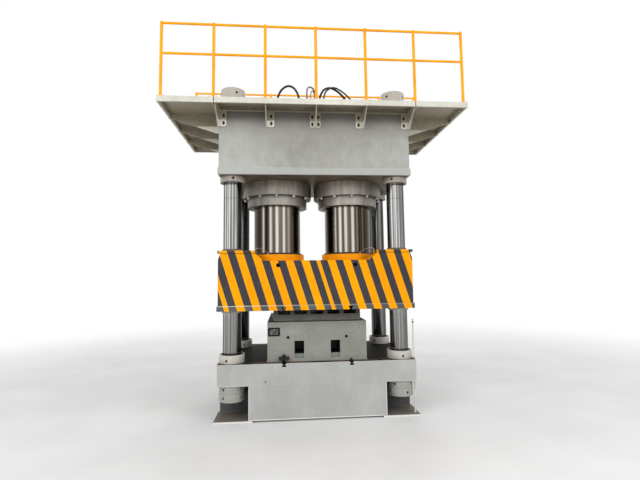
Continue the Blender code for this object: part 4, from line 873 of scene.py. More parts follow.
def add_hose_end(bm, foot):
    """Crimped sleeve and swivel nut on a hose that leaves its port upwards."""
    place = Matrix.Translation(foot)
    add_turned(bm, [(0, 0), (0.0255, 0), (0.0255, 0.022), (0.021, 0.026), (0, 0.026)], 6,
               place)
    add_turned(bm, [(0, 0.024), (0.019, 0.024), (0.0235, 0.030), (0.0235, 0.058),
                    (0.020, 0.064), (0, 0.064)], 24, place)


def add_threaded_stud(bm, x, y, low, high, radius):
    """Stud with a thread of small ridges."""
    profile = [(0, low), (radius * 0.85, low)]
    height = low
    while height < high - 0.004:
        profile.extend([(radius, height + 0.0008), (radius * 0.86, height + 0.0018)])
        height += 0.002
    profile.extend([(radius * 0.8, high), (0, high)])
    add_turned(bm, profile, 16, move(x, y, 0))


def add_bead(bm, start, end, radius=0.0055, step=0.011):
    """Rippled bead of weld from one point to another."""
    start, end = Vector(start), Vector(end)
    count = max(2, round((end - start).length / step))
    line = [start.lerp(end, index / count) for index in range(count + 1)]
    add_tube(bm, line, radius, 6, lambda index: 0.85 + 0.25 * (index % 2))


def carved(blank, cutter):
    """First closed mesh less the second. Both are used up."""
    things = []
    for bm in (blank, cutter):
        bmesh.ops.recalc_face_normals(bm, faces=bm.faces)
        mesh = bpy.data.meshes.new("carving")
        bm.to_mesh(mesh)
        bm.free()
        thing = bpy.data.objects.new("carving", mesh)
        bpy.context.scene.collection.objects.link(thing)
        things.append(thing)
    cut = things[0].modifiers.new("cut", "BOOLEAN")
    cut.object = things[1]
    cut.solver = "EXACT"
    bpy.context.view_layer.update()
    graph = bpy.context.evaluated_depsgraph_get()
    mesh = bpy.data.meshes.new_from_object(things[0].evaluated_get(graph))
    result = bmesh.new()
    result.from_mesh(mesh)
    bpy.data.meshes.remove(mesh)
    for thing in things:
        bpy.data.meshes.remove(thing.data)
    return result


def finished_mesh(name, bm, finish):
    """Mesh of a bmesh with one finish, smooth between its sharp edges."""
    bmesh.ops.recalc_face_normals(bm, faces=bm.faces)
    for face in bm.faces:
        face.smooth = True
    for edge in bm.edges:
        edge.smooth = not (edge.is_manifold and edge.calc_face_angle(0) > SHARP)
    mesh = bpy.data.meshes.new(name)
    bm.to_mesh(mesh)
    bm.free()
    mesh.materials.append(FINISHES[finish])
    return mesh


def piece(name, shape, finish, slot, at=(0, 0, 0), turn=0.0, replaces=None, body="frame"):
    """Make a bmesh, or the mesh of a piece like it, a piece that rides on one body."""
    if isinstance(shape, bmesh.types.BMesh):
        shape = finished_mesh(name, shape, finish)
    thing = bpy.data.objects.new(name, shape)
    thing.location = at
    thing.rotation_euler.z = turn
    bpy.context.scene.collection.objects.link(thing)
    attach(thing, body)
    if replaces:
        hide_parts(replaces)
    return thing


def turned_piece(name, profile, segments, *looks, closed=False, edge=0.0, **setting):
    """Piece that is one turned shape. Looks are its finish, slot (not used), place and turn."""
    bm = bmesh.new()
    add_turned(bm, profile, segments, closed=closed, edge=edge)
    return piece(name, bm, *looks, **setting)


def measure(node):
    """Axis, foot, top and radius of an upright round solid."""
    low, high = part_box(node)
    return (low.x + high.x) / 2, (low.y + high.y) / 2, low.z, high.z, (high.x - low.x) / 2


def dress(node, finish, edge):
    """Give a solid of the model its finish, and soften its edges."""
    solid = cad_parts[node]
    solid.data.materials.clear()
    solid.data.materials.append(FINISHES[finish])
    join = solid.modifiers.new("join", "WELD")
    join.merge_threshold = 0.0002
    soften = solid.modifiers.new("soften", "BEVEL")
    soften.width = edge
    soften.segments = 2
    soften.limit_method = "ANGLE"
    soften.angle_limit = math.radians(40)
    soften.use_clamp_overlap = True
    soften.harden_normals = True


# Pieces


def make_columns():
    """Columns with a groove near the crown, and turned down beyond the rings."""
    cut = 0.012
    for corner in CORNERS:
        x, y, foot, top, shaft = measure(f"column_{corner}")
        core = shaft - 0.005
        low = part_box(f"bed_ring_{corner}")[1].z + 0.015
        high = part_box(f"crown_ring_{corner}")[0].z - 0.015
        turned_piece(
            f"plated_column_{corner}",
            [(0, foot), (core - cut, foot), (core, foot + cut), (core, low),
             (shaft - 0.002, low), (shaft, low + 0.004), (shaft, COLUMN_GROOVE - 0.002),
             (shaft - 0.0015, COLUMN_GROOVE), (shaft, COLUMN_GROOVE + 0.002),
             (shaft, high - 0.004), (shaft - 0.002, high), (core, high), (core, top - cut),
             (core - cut, top), (0, top)],
            96, f"plated_{corner}", "column_steel", (x, y, 0), replaces=f"column_{corner}")


def spanner_nut(height, hole_height):
    """Round nut with a chamfer at both rims and blind holes for a pin spanner."""
    bore, radius, hole = 0.1355, 0.1925, 0.0185
    blank = bmesh.new()
    add_turned(blank, ring_profile(bore, radius, 0, height), 96, closed=True, edge=0.0045)
    holes = bmesh.new()
    for spoke in spokes(4, hole_height):
        add_turned(holes, [(0, radius - 0.040), (hole, radius - 0.034), (hole, radius - 0.003),
                           (hole + 0.002, radius + 0.002), (hole + 0.002, radius + 0.02),
                           (0, radius + 0.02)], 20, spoke @ tip(90, "Y"))
    return carved(blank, holes)


def make_nuts():
    """Ring nuts above the bed and below the crown, and the nuts at the columns' ends."""
    # How high the spanner holes sit, and how far each nut is turned, in degrees
    kinds = (
        ("bed_ring", 0.38, "white_nut", (71, 2, 20, 50)),
        ("bed_nut", 0.52, "shaded_nut", (57, 48, 12, 33)),
        ("bed_locknut", 0.50, "shaded_nut", (55, 20, 61, 8)),
        ("crown_ring", 0.56, "speckled_nut", (9, 61, 30, 75)),
        ("crown_nut", 0.76, "pale_nut", (24, 47, 65, 10)),
    )
    dirt = bmesh.new()
    for kind, hole_share, finish, turns in kinds:
        shape = None
        for corner, degrees in zip(CORNERS, turns):
            node = f"{kind}_{corner}"
            x, y, foot, top, _ = measure(node)
            if shape is None:
                height = top - foot
                shape = spanner_nut(height, height * hole_share)
            # A dark disc deep in each spanner hole is painted shade
            for spoke in spokes(4, foot + height * hole_share):
                place = move(x, y, 0) @ tip(degrees, "Z") @ spoke @ tip(90, "Y")
                add_turned(dirt, disc_profile(0.0178, 0.168, 0.178), 16, place)
            turned = piece(f"turned_{node}", shape, finish, "nut_steel", (x, y, foot),
                           math.radians(degrees), node)
            shape = turned.data
    # A dark ring of painted shade also lies in the gap between each ring on the bed and its column
    for corner in CORNERS:
        x, y, _, top, _ = measure(f"bed_ring_{corner}")
        add_turned(dirt, ring_profile(0.1365, 0.169, top - 0.004, top + 0.0006), 64,
                   move(x, y, 0), closed=True)
    piece("hole_and_gap_shade", dirt, "shade_black", "black_steel")


def make_cylinders():
    """Cylinders with their rim bolts, and the glands that the rams run through."""
    bore, shell, port = 0.412, 0.500, 0.045
    gland_bore, step = 0.4008, 0.006
    for side in SIDES:
        x, y, foot, top, rim = measure(f"cylinder_{side}")
        rim_top = CROWN_BOTTOM - 0.0003
        roof = top - 0.140
        turned_piece(
            f"cylinder_pot_{side}",
            [(bore, foot), (rim, foot), (rim, rim_top), (shell, rim_top), (shell, top),
             (port, top), (port, roof), (bore, roof)],
            128, f"barrel_{side}", "turned_steel", (x, y, 0), closed=True, edge=0.006,
            replaces=f"cylinder_{side}")
        low, high, outer = measure(f"gland_{side}")[2:]
        turned_piece(
            f"gland_ring_{side}",
            [(gland_bore, low), (0.440, low), (0.446, low + step), (outer, low + step),
             (outer, high), (gland_bore, high)],
            128, f"gland_steel_{side}", "turned_steel", (x, y, 0), closed=True, edge=0.005,
            replaces=f"gland_{side}")
        # Bolts in the rim's underside, half hidden by the gland
        bm = bmesh.new()
        for spoke in spokes(12, foot):
            place = spoke @ move(0, -0.556, 0) @ tip(180, "X")
            add_turned(bm, disc_profile(0.030, 0, 0.005), 24, place, edge=0.001)
            add_turned(bm, [(0, 0.004), (0.0225, 0.004), (0.0225, 0.024), (0.019, 0.030),
                            (0, 0.031)], 6, place)
        piece(f"rim_bolts_{side}", bm, "bright_steel", "turned_steel", (x, y, 0))


def make_heads():
    """Covers on the cylinders, bolted round, with a boss and adapters for hoses."""
    for side in SIDES:
        node = f"cylinder_head_{side}"
        x, y, foot, _, _ = measure(node)
        step, boss = foot + HEAD_STEP, foot + HEAD_BOSS
        bm = bmesh.new()
        add_turned(bm, [(0, foot), (0.440, foot), (0.440, step), (0.150, step), (0.150, boss),
                        (0, boss)], 96, edge=0.005)
        add_adapter(bm, 0, PORT_Y, step)
        if side == "right":
            add_adapter(bm, DRAIN_PORT_X, DRAIN_PORT_Y, step)
        piece(f"head_cover_{side}", bm, "cover_steel", "turned_steel", (x, y, 0), replaces=node)
        bolts = bmesh.new()
        for spoke in spokes(16, step, 0.5):
            add_socket_screw(bolts, spoke @ move(0.385, 0, 0), 0.022, 0.026)
        for spoke in spokes(6, boss):
            add_socket_screw(bolts, spoke @ move(0.115, 0, 0), 0.014, 0.014)
        piece(f"head_bolts_{side}", bolts, "black_steel", "black_steel", (x, y, 0))


def make_rams():
    """Rams, the yellow flange rings that clamp them to the slide, and dark collars."""
    for side in SIDES:
        node = f"ram_{side}"
        x, y, foot, top, radius = measure(node)
        length, cut = top - foot, 0.010
        turned_piece(
            f"plated_ram_{side}",
            [(0, 0), (radius, 0), (radius, length - cut), (radius - cut, length), (0, length)],
            128, f"ram_steel_{side}", "ram_steel", (x, y, foot), replaces=node,
            body="slide_unit")
        node = f"ram_flange_{side}"
        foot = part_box(node)[0].z
        inner, seat = radius + 0.0004, RAM_FLANGE_HEIGHT + 0.0005
        turned_piece(
            f"flange_ring_{side}", ring_profile(inner, RAM_FLANGE_RADIUS, 0, RAM_FLANGE_HEIGHT),
            128, "flange_yellow", "safety_yellow", (x, y, foot), 0.5, node,
            closed=True, edge=0.006, body="slide_unit")
        turned_piece(
            f"ram_collar_{side}",
            [(inner, seat), (radius + 0.020, seat), (radius + 0.020, 0.142),
             (radius + 0.008, 0.150), (inner, 0.150)],
            128, "ram_seal", "black_steel", (x, y, foot), 0.5, closed=True, edge=0.003,
            body="slide_unit")
        bm = bmesh.new()
        for spoke in spokes(16, RAM_FLANGE_HEIGHT, 0.5):
            add_socket_screw(bm, spoke @ move(0.440, 0, 0), 0.0125, 0.010)
        piece(f"flange_screws_{side}", bm, "black_steel", "black_steel", (x, y, foot),
              body="slide_unit")


def make_bushes():
    """Guide bushes with a pale foot below the slide, and felt wipers above it."""
    bore, collar, seat = 0.1407, 0.158, 0.1650
    top, slide_foot = SLIDE_HIGH.z, SLIDE_LOW.z
    for index, corner in enumerate(CORNERS):
        node = f"guide_bush_{corner}"
        x, y, foot, wiper_top, _ = measure(node)
        turned_piece(
            f"bush_{corner}",
            [(bore, foot), (collar - 0.003, foot), (collar, foot + 0.004), (collar, slide_foot),
             (seat, slide_foot + 0.001), (seat, top - 0.001), (bore, top - 0.001)],
            96, "bush_metal", "bronze", (x, y, 0), 0.4 * index, node, closed=True,
            edge=0.0015, body="slide_unit")
        # Felt bulges and frays a little all round
        bm = bmesh.new()
        height = wiper_top - top
        add_turned(bm, [(bore, 0), (collar - 0.001, 0), (collar, height * 0.3),
                        (collar - 0.0005, height * 0.62), (collar - 0.007, height * 0.93),
                        (bore, height * 0.86)], 120, closed=True)
        for vertex in bm.verts:
            if math.hypot(vertex.co.x, vertex.co.y) > bore + 0.004:
                angle = math.atan2(vertex.co.y, vertex.co.x)
                fray = (math.sin(angle * 31 + index) * math.sin(angle * 47 + 2.1 * index)
                        + math.sin(angle * 83 + vertex.co.z * 300)) * 0.5
                vertex.co.xy *= 1 - 0.008 * (1 + fray)
                vertex.co.z = max(0, vertex.co.z - (1 + fray) * 0.0018)
        piece(f"wiper_{corner}", bm, "wiper_felt", "bronze", (x, y, top + 0.0002), 0.7 * index,
              body="slide_unit")


def make_railings():
    """Tube railings with foot plates, bolts, and a bead of weld round each post's foot."""
    half = CROWN_HALF_X + WALKWAY_REACH - RAIL_INSET
    rail, post, plate = 0.0185, 0.0225, 0.008
    for end in ("front", "rear"):
        node = f"railing_{end}"
        low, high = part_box(node)
        y, foot = (low.y + high.y) / 2, low.z
        top_rail = foot + 1.150
        bm, bolts = bmesh.new(), bmesh.new()
        for height in (foot + 0.680, top_rail):
            add_tube(bm, [(-half, y, height), (half, y, height)], rail, 20)
        for index in range(7):
            x = -half + index * half / 3
            add_tube(bm, [(x, y, foot + 0.004), (x, y, top_rail + rail)], post, 24)
            add_turned(bm, [(post, 0.0), (post - 0.002, 0.004), (0, 0.0055)], 24,
                       move(x, y, top_rail + rail))
            low_x = max(x - 0.075, -half - RAIL_INSET)
            high_x = min(x + 0.075, half + RAIL_INSET)
            add_block(bm, (low_x, y - 0.055, foot), (high_x, y + 0.055, foot + plate), 0.0015)
            add_turned(bm, [(0.022, plate), (0.031, plate), (0.022, 0.017)], 24,
                       move(x, y, foot), closed=True)
            for bolt_x in (low_x + 0.018, high_x - 0.018):
                for bolt_y in (y - 0.038, y + 0.038):
                    add_hexagon_bolt(bolts, move(bolt_x, bolt_y, foot + plate), 0.017, 0.011)
        piece(f"tube_railing_{end}", bm, "rail_yellow", "safety_yellow", replaces=node)
        piece(f"foot_bolts_{end}", bolts, "bright_steel", "black_steel")


def make_hoses():
    """Hoses that arch from the valve block to the heads, with crimped ends."""
    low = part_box("hose_loop")[0].z
    head_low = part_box("cylinder_head_left")[0].z + HEAD_STEP + ADAPTER_HEIGHT + HOSE_GAP
    up = Vector((0, 0, 0.060))
    left, loop_start, right, loop_end, pilot_start, pilot_end, drain = [
        (*port, low) for port in BLOCK_PORTS]
    drain_end = (RAM_X + DRAIN_PORT_X, DRAIN_PORT_Y, head_low)
    # Each hose: radius, cover, and the points it runs through
    routes = {
        "hose_left": (0.018, "hose_rubber", (
            left, (-0.262, -0.585, 5.170), (-0.330, -0.555, 5.290), (-0.431, -0.520, 5.335),
            (-0.535, -0.470, 5.285), (-0.600, -0.410, 5.170), (-RAM_X, PORT_Y, head_low))),
        "hose_loop": (0.014, "grey_rubber", (
            loop_start, (-0.112, -0.590, 5.170), (-0.095, -0.520, 5.300),
            (-0.040, -0.420, 5.375), (0.030, -0.280, 5.390), (0.060, -0.120, 5.330),
            (0.030, 0.030, 5.200), loop_end)),
        "pilot_loop": (0.010, "grey_rubber", (
            pilot_start, (-0.048, -0.630, 5.130), (-0.030, -0.560, 5.235),
            (0.010, -0.430, 5.290), (0.050, -0.270, 5.265), (0.060, -0.150, 5.170),
            pilot_end)),
        "drain_hose": (0.013, "hose_rubber", (
            drain, (0.205, -0.630, 5.200), (0.330, -0.600, 5.290), (0.470, -0.550, 5.260),
            (0.620, -0.480, 5.170), (0.730, -0.390, 5.080), (0.760, -0.270, head_low + 0.080),
            drain_end)),
        "hose_right": (0.018, "hose_rubber", (
            right, (0.118, -0.590, 5.150), (0.180, -0.570, 5.260), (0.285, -0.540, 5.310),
            (0.400, -0.505, 5.280), (0.510, -0.465, 5.205), (0.590, -0.420, 5.120),
            (RAM_X, PORT_Y, head_low))),
    }
    ends = bmesh.new()
    for name, (radius, cover, route) in routes.items():
        start, end = Vector(route[0]), Vector(route[-1])
        bm = bmesh.new()
        line = smooth_line([start, start + up, *route[1:-1], end + up, end], 0.012)
        add_tube(bm, line, radius, 20)
        piece(f"oil_{name}", bm, cover, "hose_rubber",
              replaces=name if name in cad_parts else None)
        add_hose_end(ends, start)
        add_hose_end(ends, end)
    piece("hose_ends", ends, "bright_steel", "black_steel")


def make_valve_block():
    """Drilled valve block with its hose adapters and screws."""
    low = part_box("manifold")[0].z
    top = low + 0.150
    bm = bmesh.new()
    add_outline(bm, [(-0.320, -0.700), (0.320, -0.700), (0.320, -0.500), (0.080, -0.500),
                     (0.080, 0.150), (-0.080, 0.150), (-0.080, -0.500), (-0.320, -0.500)],
                low, top, 0.003)
    for x, y in BLOCK_PORTS:
        add_adapter(bm, x, y, top)
    piece("drilled_block", bm, "black_steel", "black_steel", replaces="manifold")
    bm = bmesh.new()
    for row_x, row_y in (((-0.300, 0.215, 0.300), (-0.680, -0.520)),
                         ((-0.062, 0.062), (-0.420, -0.200, 0.020, 0.132))):
        for x in row_x:
            for y in row_y:
                add_socket_screw(bm, move(x, y, top), 0.0095, 0.008)
    piece("block_screws", bm, "bright_steel", "black_steel")


def make_grease_lines():
    """Thin bent tubes from the front housings to the flange rings, with their nipples."""
    nipples = bmesh.new()
    for side, sign in SIDES.items():
        start = Vector((sign * 0.980, -0.530, SLIDE_HIGH.z + 0.0003))
        flange_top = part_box(f"ram_flange_{side}")[0].z + RAM_FLANGE_HEIGHT + 0.0003
        bearing, reach = math.radians(20), RAM_FLANGE_RADIUS - 0.0225
        end = Vector((sign * (RAM_X + reach * math.sin(bearing)), -reach * math.cos(bearing),
                      flange_top))
        stub = Vector((0, 0, 0.030))
        over = start.lerp(end, 0.3)
        over.z = SLIDE_HIGH.z + 0.062
        bm = bmesh.new()
        add_tube(bm, smooth_line([start, start + stub, over, end + stub, end], 0.008), 0.0045, 12)
        piece(f"bent_grease_line_{side}", bm, "bright_steel", "column_steel",
              replaces=f"grease_line_{side}", body="slide_unit")
        for point in (start, end):
            add_turned(nipples, [(0, 0), (0.010, 0), (0.010, 0.010), (0.007, 0.013),
                                 (0.007, 0.020), (0, 0.020)], 6, Matrix.Translation(point))
    piece("grease_nipples", nipples, "bright_steel", "column_steel", body="slide_unit")


def add_slot_stud(bm, x, y, seat, top):
    """T-slot nut with a threaded stud, and a nut that stands on a seat."""
    nut, half = 0.032, 0.0295
    add_turned(bm, [(0, 0), (0.0255, 0), (0.0255, 0.030), (0.022, nut), (0, nut)], 6,
               move(x, y, seat))
    add_threaded_stud(bm, x, y, BED_TOP - 0.040, top, 0.0118)
    add_block(bm, (x - half, y - half, BED_TOP - 0.0515), (x + half, y + half, BED_TOP - 0.0265),
              0.002)


def make_clamps():
    """Clamp bar with its stud and nut, and a bare stud with its nut in the other slot."""
    x, y = -T_SLOT_X, -0.888
    bar_low, bar_high, stud = BED_TOP + 0.0403, BED_TOP + 0.0803, 0.0458
    # The bar's front end is cut to a blunt nose
    half, front, back, nose = 0.076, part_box("die_clamp")[0].y, -0.7753, 0.020
    bm = bmesh.new()
    add_outline(bm, [(x - half, back), (x - half, front + nose), (x - half + nose, front),
                     (x + half - nose, front), (x + half, front + nose), (x + half, back)],
                bar_low, bar_high, 0.003)
    add_turned(bm, disc_profile(0.030, 0, 0.004), 28, move(x, y, bar_high), edge=0.0008)
    add_slot_stud(bm, x, y, bar_high, bar_high + stud)
    piece("clamp_bar", bm, "black_steel", "black_steel", replaces="die_clamp")
    bm = bmesh.new()
    add_slot_stud(bm, T_SLOT_X, y, BED_TOP + 0.0003, BED_TOP + stud)
    piece("slot_stud", bm, "black_steel", "black_steel", replaces="t_slot_stud")


def make_corner_pipe():
    """Thin pipe at the bed's front right corner, with two spring clips."""
    x, y, foot, top, _ = measure("corner_pipe")
    bore, radius = 0.009, 0.0132
    bm = bmesh.new()
    add_turned(bm, [(0, foot), (radius, foot), (radius, top - 0.002), (radius - 0.002, top),
                    (bore, top), (bore, top - 0.03), (0, top - 0.03)], 32, move(x, y, 0))
    piece("thin_pipe", bm, "pipe_paint", "pipe_paint", replaces="corner_pipe")
    bm = bmesh.new()
    for height in (BED_TOP + 0.006, BED_TOP + 0.555):
        add_turned(bm, ring_profile(0.0133, 0.0180, height, height + 0.012), 24,
                   move(x, y, 0), closed=True, edge=0.001)
    piece("pipe_clips", bm, "black_steel", "black_steel")


def make_bracket_bolts():
    """Upright slots in the walkway's bracket plates, drawn as dark discs of painted shade, each with a
    bolt in it.
    """
    slots, bolts = bmesh.new(), bmesh.new()
    wall_y, wall_x = CROWN_HALF_Y + 0.0123, CROWN_HALF_X + 0.0335
    places = [move(x, facing * wall_y, 0) @ tip(-90 * facing, "X") for facing in (-1, 1)
              for x in (-1.423, -0.690, -0.048, 0.048, 0.690, 1.423)]
    places += [move(side * wall_x, y, 0) @ tip(90 * side, "Y") for side in (-1, 1)
               for y in (-0.690, -0.070, 0.550)]
    for place in places:
        for height in BRACKET_BOLTS_Z:
            for rise in (-0.012, 0.0, 0.012):
                add_turned(slots, disc_profile(0.0170, -0.002, 0.0012), 20,
                           move(0, 0, height + rise) @ place)
            add_hexagon_bolt(bolts, move(0, 0, height - 0.004) @ place, 0.017, 0.008)
    piece("bracket_slots", slots, "shade_black", "black_steel")
    piece("bracket_bolts", bolts, "black_steel", "black_steel")


def make_welds():
    """Weld round the crown's flange, painted paler than the crown as a highlight line."""
    bm = bmesh.new()
    height = CROWN_BOTTOM + FLANGE_HEIGHT + 0.0005
    corners = [(x * CROWN_HALF_X, y * CROWN_HALF_Y, height)
               for x, y in ((-1, -1), (1, -1), (1, 1), (-1, 1))]
    for start, end in zip(corners, corners[1:] + corners[:1]):
        add_bead(bm, start, end)
    piece("crown_welds", bm, "lit_weld_bead", "crown_paint")


def make_tool_plate():
    """Blank plate on the lower tool, with a dark rim and four pins."""
    y = DIE_LOW.y + DIE_PLINTH
    (left, low), (right, high) = (-0.757, 1.226), (-0.572, 1.357)
    side, end, pin = 0.026, 0.024, 0.009
    bm = bmesh.new()
    add_block(bm, (left, y - 0.0022, low), (right, y + 0.001, high), 0.0007)
    piece("tool_plate_rim", bm, "plate_dark", "black_steel")
    bm = bmesh.new()
    add_block(bm, (left + side, y - 0.0032, low + end), (right - side, y - 0.001, high - end),
              0.0005)
    piece("tool_plate_face", bm, "plate_light", "tool_paint")
    bm = bmesh.new()
    for x in (left + pin, right - pin):
        for z in (low + pin, high - pin):
            add_pin(bm, move(x, y - 0.002, z) @ tip(90, "X"), 0.0034)
    piece("tool_plate_pins", bm, "bright_steel", "black_steel")


def make_tool_holes():
    """Dark discs in the mouths of the holes in the lower tool's long sides: painted shade in the
    holes, each with a dark rim for its chamfer.
    """
    bm = bmesh.new()
    for x in (-DIE_HOLE_X, DIE_HOLE_X):
        for facing in (-1, 1):
            place = move(x, facing * (DIE_HIGH.y - DIE_PLINTH), DIE_HIGH.z - DIE_HOLE_DROP)
            add_turned(bm, [(0, -0.010), (0.0192, -0.008), (0.0192, 0.0), (0.0235, 0.0002),
                            (0.0230, 0.0007), (0.0172, 0.0007), (0.0165, -0.006), (0, -0.006)],
                       28, place @ tip(-90 * facing, "X"))
    piece("tool_hole_shade", bm, "shade_black", "black_steel")


def make_bed_joint():
    """Filler that hides the joint between the bed's block and its foot, all round."""
    bm = bmesh.new()
    proud, depth, low, high, edge = 0.0006, 0.014, 0.508, 0.5345, 0.0004
    long_half, short_half = PEDESTAL_SIDE - 0.001, 0.499
    for side in (-1, 1):
        near, far = sorted((side * (BED_HIGH.y + proud), side * (BED_HIGH.y - depth)))
        add_block(bm, (-long_half, near, low), (long_half, far, high), edge)
        near, far = sorted((side * (BED_HIGH.x + proud), side * (BED_HIGH.x - depth)))
        add_block(bm, (near, -short_half, low), (far, short_half, high), edge)
    piece("bed_filler", bm, "bed_paint", "bed_paint")


def make_bed_plug():
    """Sunk plug in the bed's front, and a bolt in its top."""
    bm = bmesh.new()
    add_turned(bm, [(0, 0.0), (0.006, 0.0006), (0.0068, 0.0012), (0.011, 0.0012),
                    (0.011, -0.002), (0, -0.002)], 24,
               move(-0.789, BED_LOW.y, 0.580) @ tip(90, "X"))
    add_hexagon_bolt(bm, move(0.955, -0.880, BED_TOP), 0.042, 0.032)
    piece("bed_plug", bm, "black_steel", "black_steel")


# Stage


def make_floor():
    """Pale floor that fades out far from the press."""
    f = Finish("pale_floor")
    x, y, _ = f.parts(f.place)
    colour = f.ramp(f.clouds(0.8, detail=5, shift=3.0), (0.35, 0.845), (0.65, 0.875))
    fade = ((x * x + y * y) ** 0.5).spread(4.5, 13.0)
    fade = fade * fade * (3 - 2 * fade)
    matt = f.node("ShaderNodeBsdfPrincipled", values={"Base Color": colour, "Roughness": 0.75})
    clear = f.node("ShaderNodeBsdfTransparent")
    both = f.node("ShaderNodeMixShader", values=(fade, matt, clear))
    f.node("ShaderNodeOutputMaterial", values=(both,))
    bm = bmesh.new()
    bmesh.ops.create_grid(bm, x_segments=8, y_segments=8, size=20.0)
    mesh = bpy.data.meshes.new("floor")
    bm.to_mesh(mesh)
    bm.free()
    mesh.materials.append(FINISHES["pale_floor"])
    floor = bpy.data.objects.new("floor", mesh)
    floor.location = (0, 0, -0.001)
    bpy.context.scene.collection.objects.link(floor)


def make_sky(level):
    """White all round as the camera and bright metal see it, softer as a lamp."""
    world = bpy.data.worlds.new("white_hall")
    bpy.context.scene.world = world
    world.use_nodes = True
    sheet = Sheet(world.node_tree)
    seen = sheet.node("ShaderNodeLightPath", output=0)
    mirrored = sheet.node("ShaderNodeLightPath", output=3)
    through = sheet.node("ShaderNodeLightPath", output=6)
    direct = seen | mirrored | through
    light = sheet.node(
        "ShaderNodeBackground", values=((1, 1, 1, 1), direct + (1 - direct) * level))
    sheet.node("ShaderNodeOutputWorld", values=(light,))


def add_lamp(name, place, aim, width, height, power):
    lamp = bpy.data.lights.new(name, "AREA")
    lamp.shape = "RECTANGLE"
    lamp.size = width
    lamp.size_y = height
    lamp.energy = power
    thing = bpy.data.objects.new(name, lamp)
    thing.location = place
    way = Vector(aim) - Vector(place)
    thing.rotation_euler = way.to_track_quat("-Z", "Y").to_euler()
    thing.visible_glossy = False
    bpy.context.scene.collection.objects.link(thing)


def make_light():
    make_sky(0.62)
    add_lamp("front_left_lamp", (-6.5, -8.0, 7.0), (0, 0, 2.6), 5.0, 4.0, 420)
    add_lamp("front_right_lamp", (6.5, -7.0, 6.0), (0, 0, 2.6), 4.0, 4.0, 260)
    add_lamp("roof_lamp", (0, -1.0, 10.5), (0, 0, 2.0), 7.0, 5.0, 300)
    add_lamp("rear_lamp", (2.0, 9.0, 7.0), (0, 0, 2.6), 6.0, 4.0, 300)


def make_camera():
    """Camera at the height and distance of someone standing in front of the press."""
    camera = bpy.data.cameras.new("viewpoint")
    camera.sensor_fit = "HORIZONTAL"
    camera.sensor_width = 36.0
    camera.lens = 23.20
    camera.clip_end = 200.0
    thing = bpy.data.objects.new("viewpoint", camera)
    right = Vector((0.99656, -0.08190, -0.01302))
    up = Vector((0.00609, -0.08431, 0.99642))
    forward = Vector((0.08270, 0.99307, 0.08352))
    turn = Matrix((right, up, -forward)).transposed().normalized()
    thing.matrix_world = move(-0.476, -7.263, 2.158) @ turn.to_4x4()
    bpy.context.scene.collection.objects.link(thing)
    bpy.context.scene.camera = thing


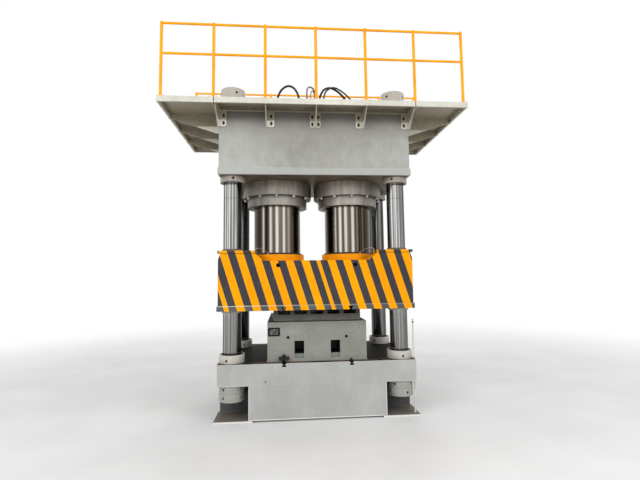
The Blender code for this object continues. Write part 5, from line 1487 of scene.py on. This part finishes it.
def make_finishes():
    for make in (make_bed_paint, make_crown_paint, make_cream_paint, make_striped_paint,
                 make_tool_paint, make_tool_steel, make_felt, make_bronze, make_pipe_paint):
        make()
    make_plain("bright_steel", (90, 1, 3, 5.0), (0.35, (0.66, 0.66, 0.64)),
               (0.65, (0.86, 0.86, 0.85)), (0.28, 0.2), metallic=0.9)
    make_plain("ram_seal", (30, 0.3, 4, 5.0), (0.35, (0.16, 0.12, 0.09)),
               (0.62, (0.34, 0.27, 0.20)), (0.45, 0.3), metallic=0.3)
    # The weld is painted paler than the crown: a painted highlight along the flange seam
    make_plain("lit_weld_bead", (30, 1, 3, 5.0), (0.35, (0.76, 0.76, 0.74)),
               (0.65, (0.86, 0.86, 0.84)), (0.5, 0.2))
    make_plain("plate_dark", (28, 1, 4, 3.0), (0.35, 0.07), (0.70, 0.14), (0.55, 0.2),
               specular_ior_level=0.1)
    make_plain("plate_light", (40, 1, 3, 7.0), (0.38, 0.15), (0.60, (0.47, 0.46, 0.44)),
               (0.45, 0.2), metallic=0.1, specular_ior_level=0.2)
    make_rail_paint("rail_yellow", (0.93, 0.585, 0.05), (1.0, 0.68, 0.09))
    make_rail_paint("flange_yellow", (0.94, 0.57, 0.02), (1.0, 0.68, 0.05))
    make_black_steel("black_steel", 0.08, 0.45)
    # Near black for painted shade in holes, slots and gaps
    make_black_steel("shade_black", 0.045, 0.6)
    make_rubber("hose_rubber", 0.10, 0.235)
    make_rubber("grey_rubber", 0.44, 0.56)
    # Painted reflection streaks: degrees from the front, width in degrees, how much brighter
    make_plated_steel("plated_front_left", 1.0, 36, (
        (-44, 6, 0.44), (-25, 6, 0.26), (-12, 5, 0.42), (6, 5, 0.30), (25, 7, 0.25)), left_dark=-50)
    make_plated_steel("plated_front_right", 31.0, 36, (
        (-40, 7, 0.32), (-23, 7, 0.24), (-12, 5, 0.34), (6, 5, 0.24)))
    # The rear columns have a lower level, painted darker as they stand in shade behind the front ones
    make_plated_steel("plated_rear_left", 57.0, 25, (
        (-30, 6, 0.30), (-6, 5, 0.28), (12, 5, 0.2)), 0.40)
    make_plated_steel("plated_rear_right", 83.0, 28, (
        (-36, 6, 0.30), (-10, 5, 0.28), (16, 5, 0.2)), 0.40)
    # Painted reflection streaks as above, then painted dark flanks: from one angle to another, and the
    # share of the tone at each
    make_ram_steel("ram_steel_left", 6.0, (
        (-34, 4, 0.34), (-15, 5, 0.50), (0, 5, 0.44), (16.4, 5, 0.42), (28.6, 4, 0.22)), (
        (-44, -40, 0.30, 1.0), (42, 46, 1.0, 0.62), (54, 60, 1.0, 0.48)))
    make_ram_steel("ram_steel_right", 29.0, (
        (-39, 4, 0.50), (-26, 5, 0.52), (-12, 5, 0.48), (5, 5, 0.44), (17, 3, 0.12),
        (32, 3, 0.50)), (
        (-49, -45, 0.32, 1.0), (24, 28, 1.0, 0.45)))
    for name, shift, dim, bright in (
            ("barrel_left", 3.0, (0.46, 0.435, 0.40), (0.67, 0.645, 0.61)),
            ("barrel_right", 43.0, (0.49, 0.465, 0.43), (0.71, 0.685, 0.65)),
            ("gland_steel_left", 13.0, (0.49, 0.48, 0.445), (0.69, 0.68, 0.65)),
            ("gland_steel_right", 23.0, (0.54, 0.52, 0.48), (0.74, 0.72, 0.69)),
            ("cover_steel", 33.0, (0.50, 0.48, 0.45), (0.68, 0.66, 0.63))):
        make_turned_steel(name, shift, dim, bright)
    for name, pale, mid, brown, amount in (
            ("white_nut", (0.81, 0.80, 0.77), (0.70, 0.69, 0.655), (0.56, 0.50, 0.45), 0.35),
            ("shaded_nut", (0.70, 0.70, 0.68), (0.60, 0.60, 0.575), (0.44, 0.41, 0.38), 0.40),
            ("speckled_nut", (0.70, 0.67, 0.63), (0.51, 0.48, 0.44), (0.37, 0.32, 0.28), 0.65),
            ("pale_nut", (0.75, 0.74, 0.71), (0.65, 0.635, 0.60), (0.57, 0.52, 0.47), 0.40)):
        make_nut_steel(name, pale, mid, brown, amount)


def main():
    bpy.context.scene.view_settings.view_transform = "Standard"
    make_camera()
    make_light()
    make_floor()
    make_finishes()
    for node, finish, edge in (
            ("bed", "bed_paint", 0.003), ("pedestal", "bed_paint", 0.003),
            ("crown", "crown_paint", 0.003), ("slide", "striped_paint", 0.003),
            ("die_box", "tool_paint", 0.003), ("upper_tool", "tool_steel", 0.002),
            ("platform_front", "cream_paint", 0.0015), ("platform_rear", "cream_paint", 0.0015),
            ("platform_left", "cream_paint", 0.0015), ("platform_right", "cream_paint", 0.0015)):
        dress(node, finish, edge)
    for make in (make_columns, make_nuts, make_cylinders, make_heads, make_rams, make_bushes,
                 make_railings, make_hoses, make_valve_block, make_grease_lines, make_clamps,
                 make_corner_pipe, make_bracket_bolts, make_welds, make_tool_plate,
                 make_tool_holes, make_bed_joint, make_bed_plug):
        make()


main()
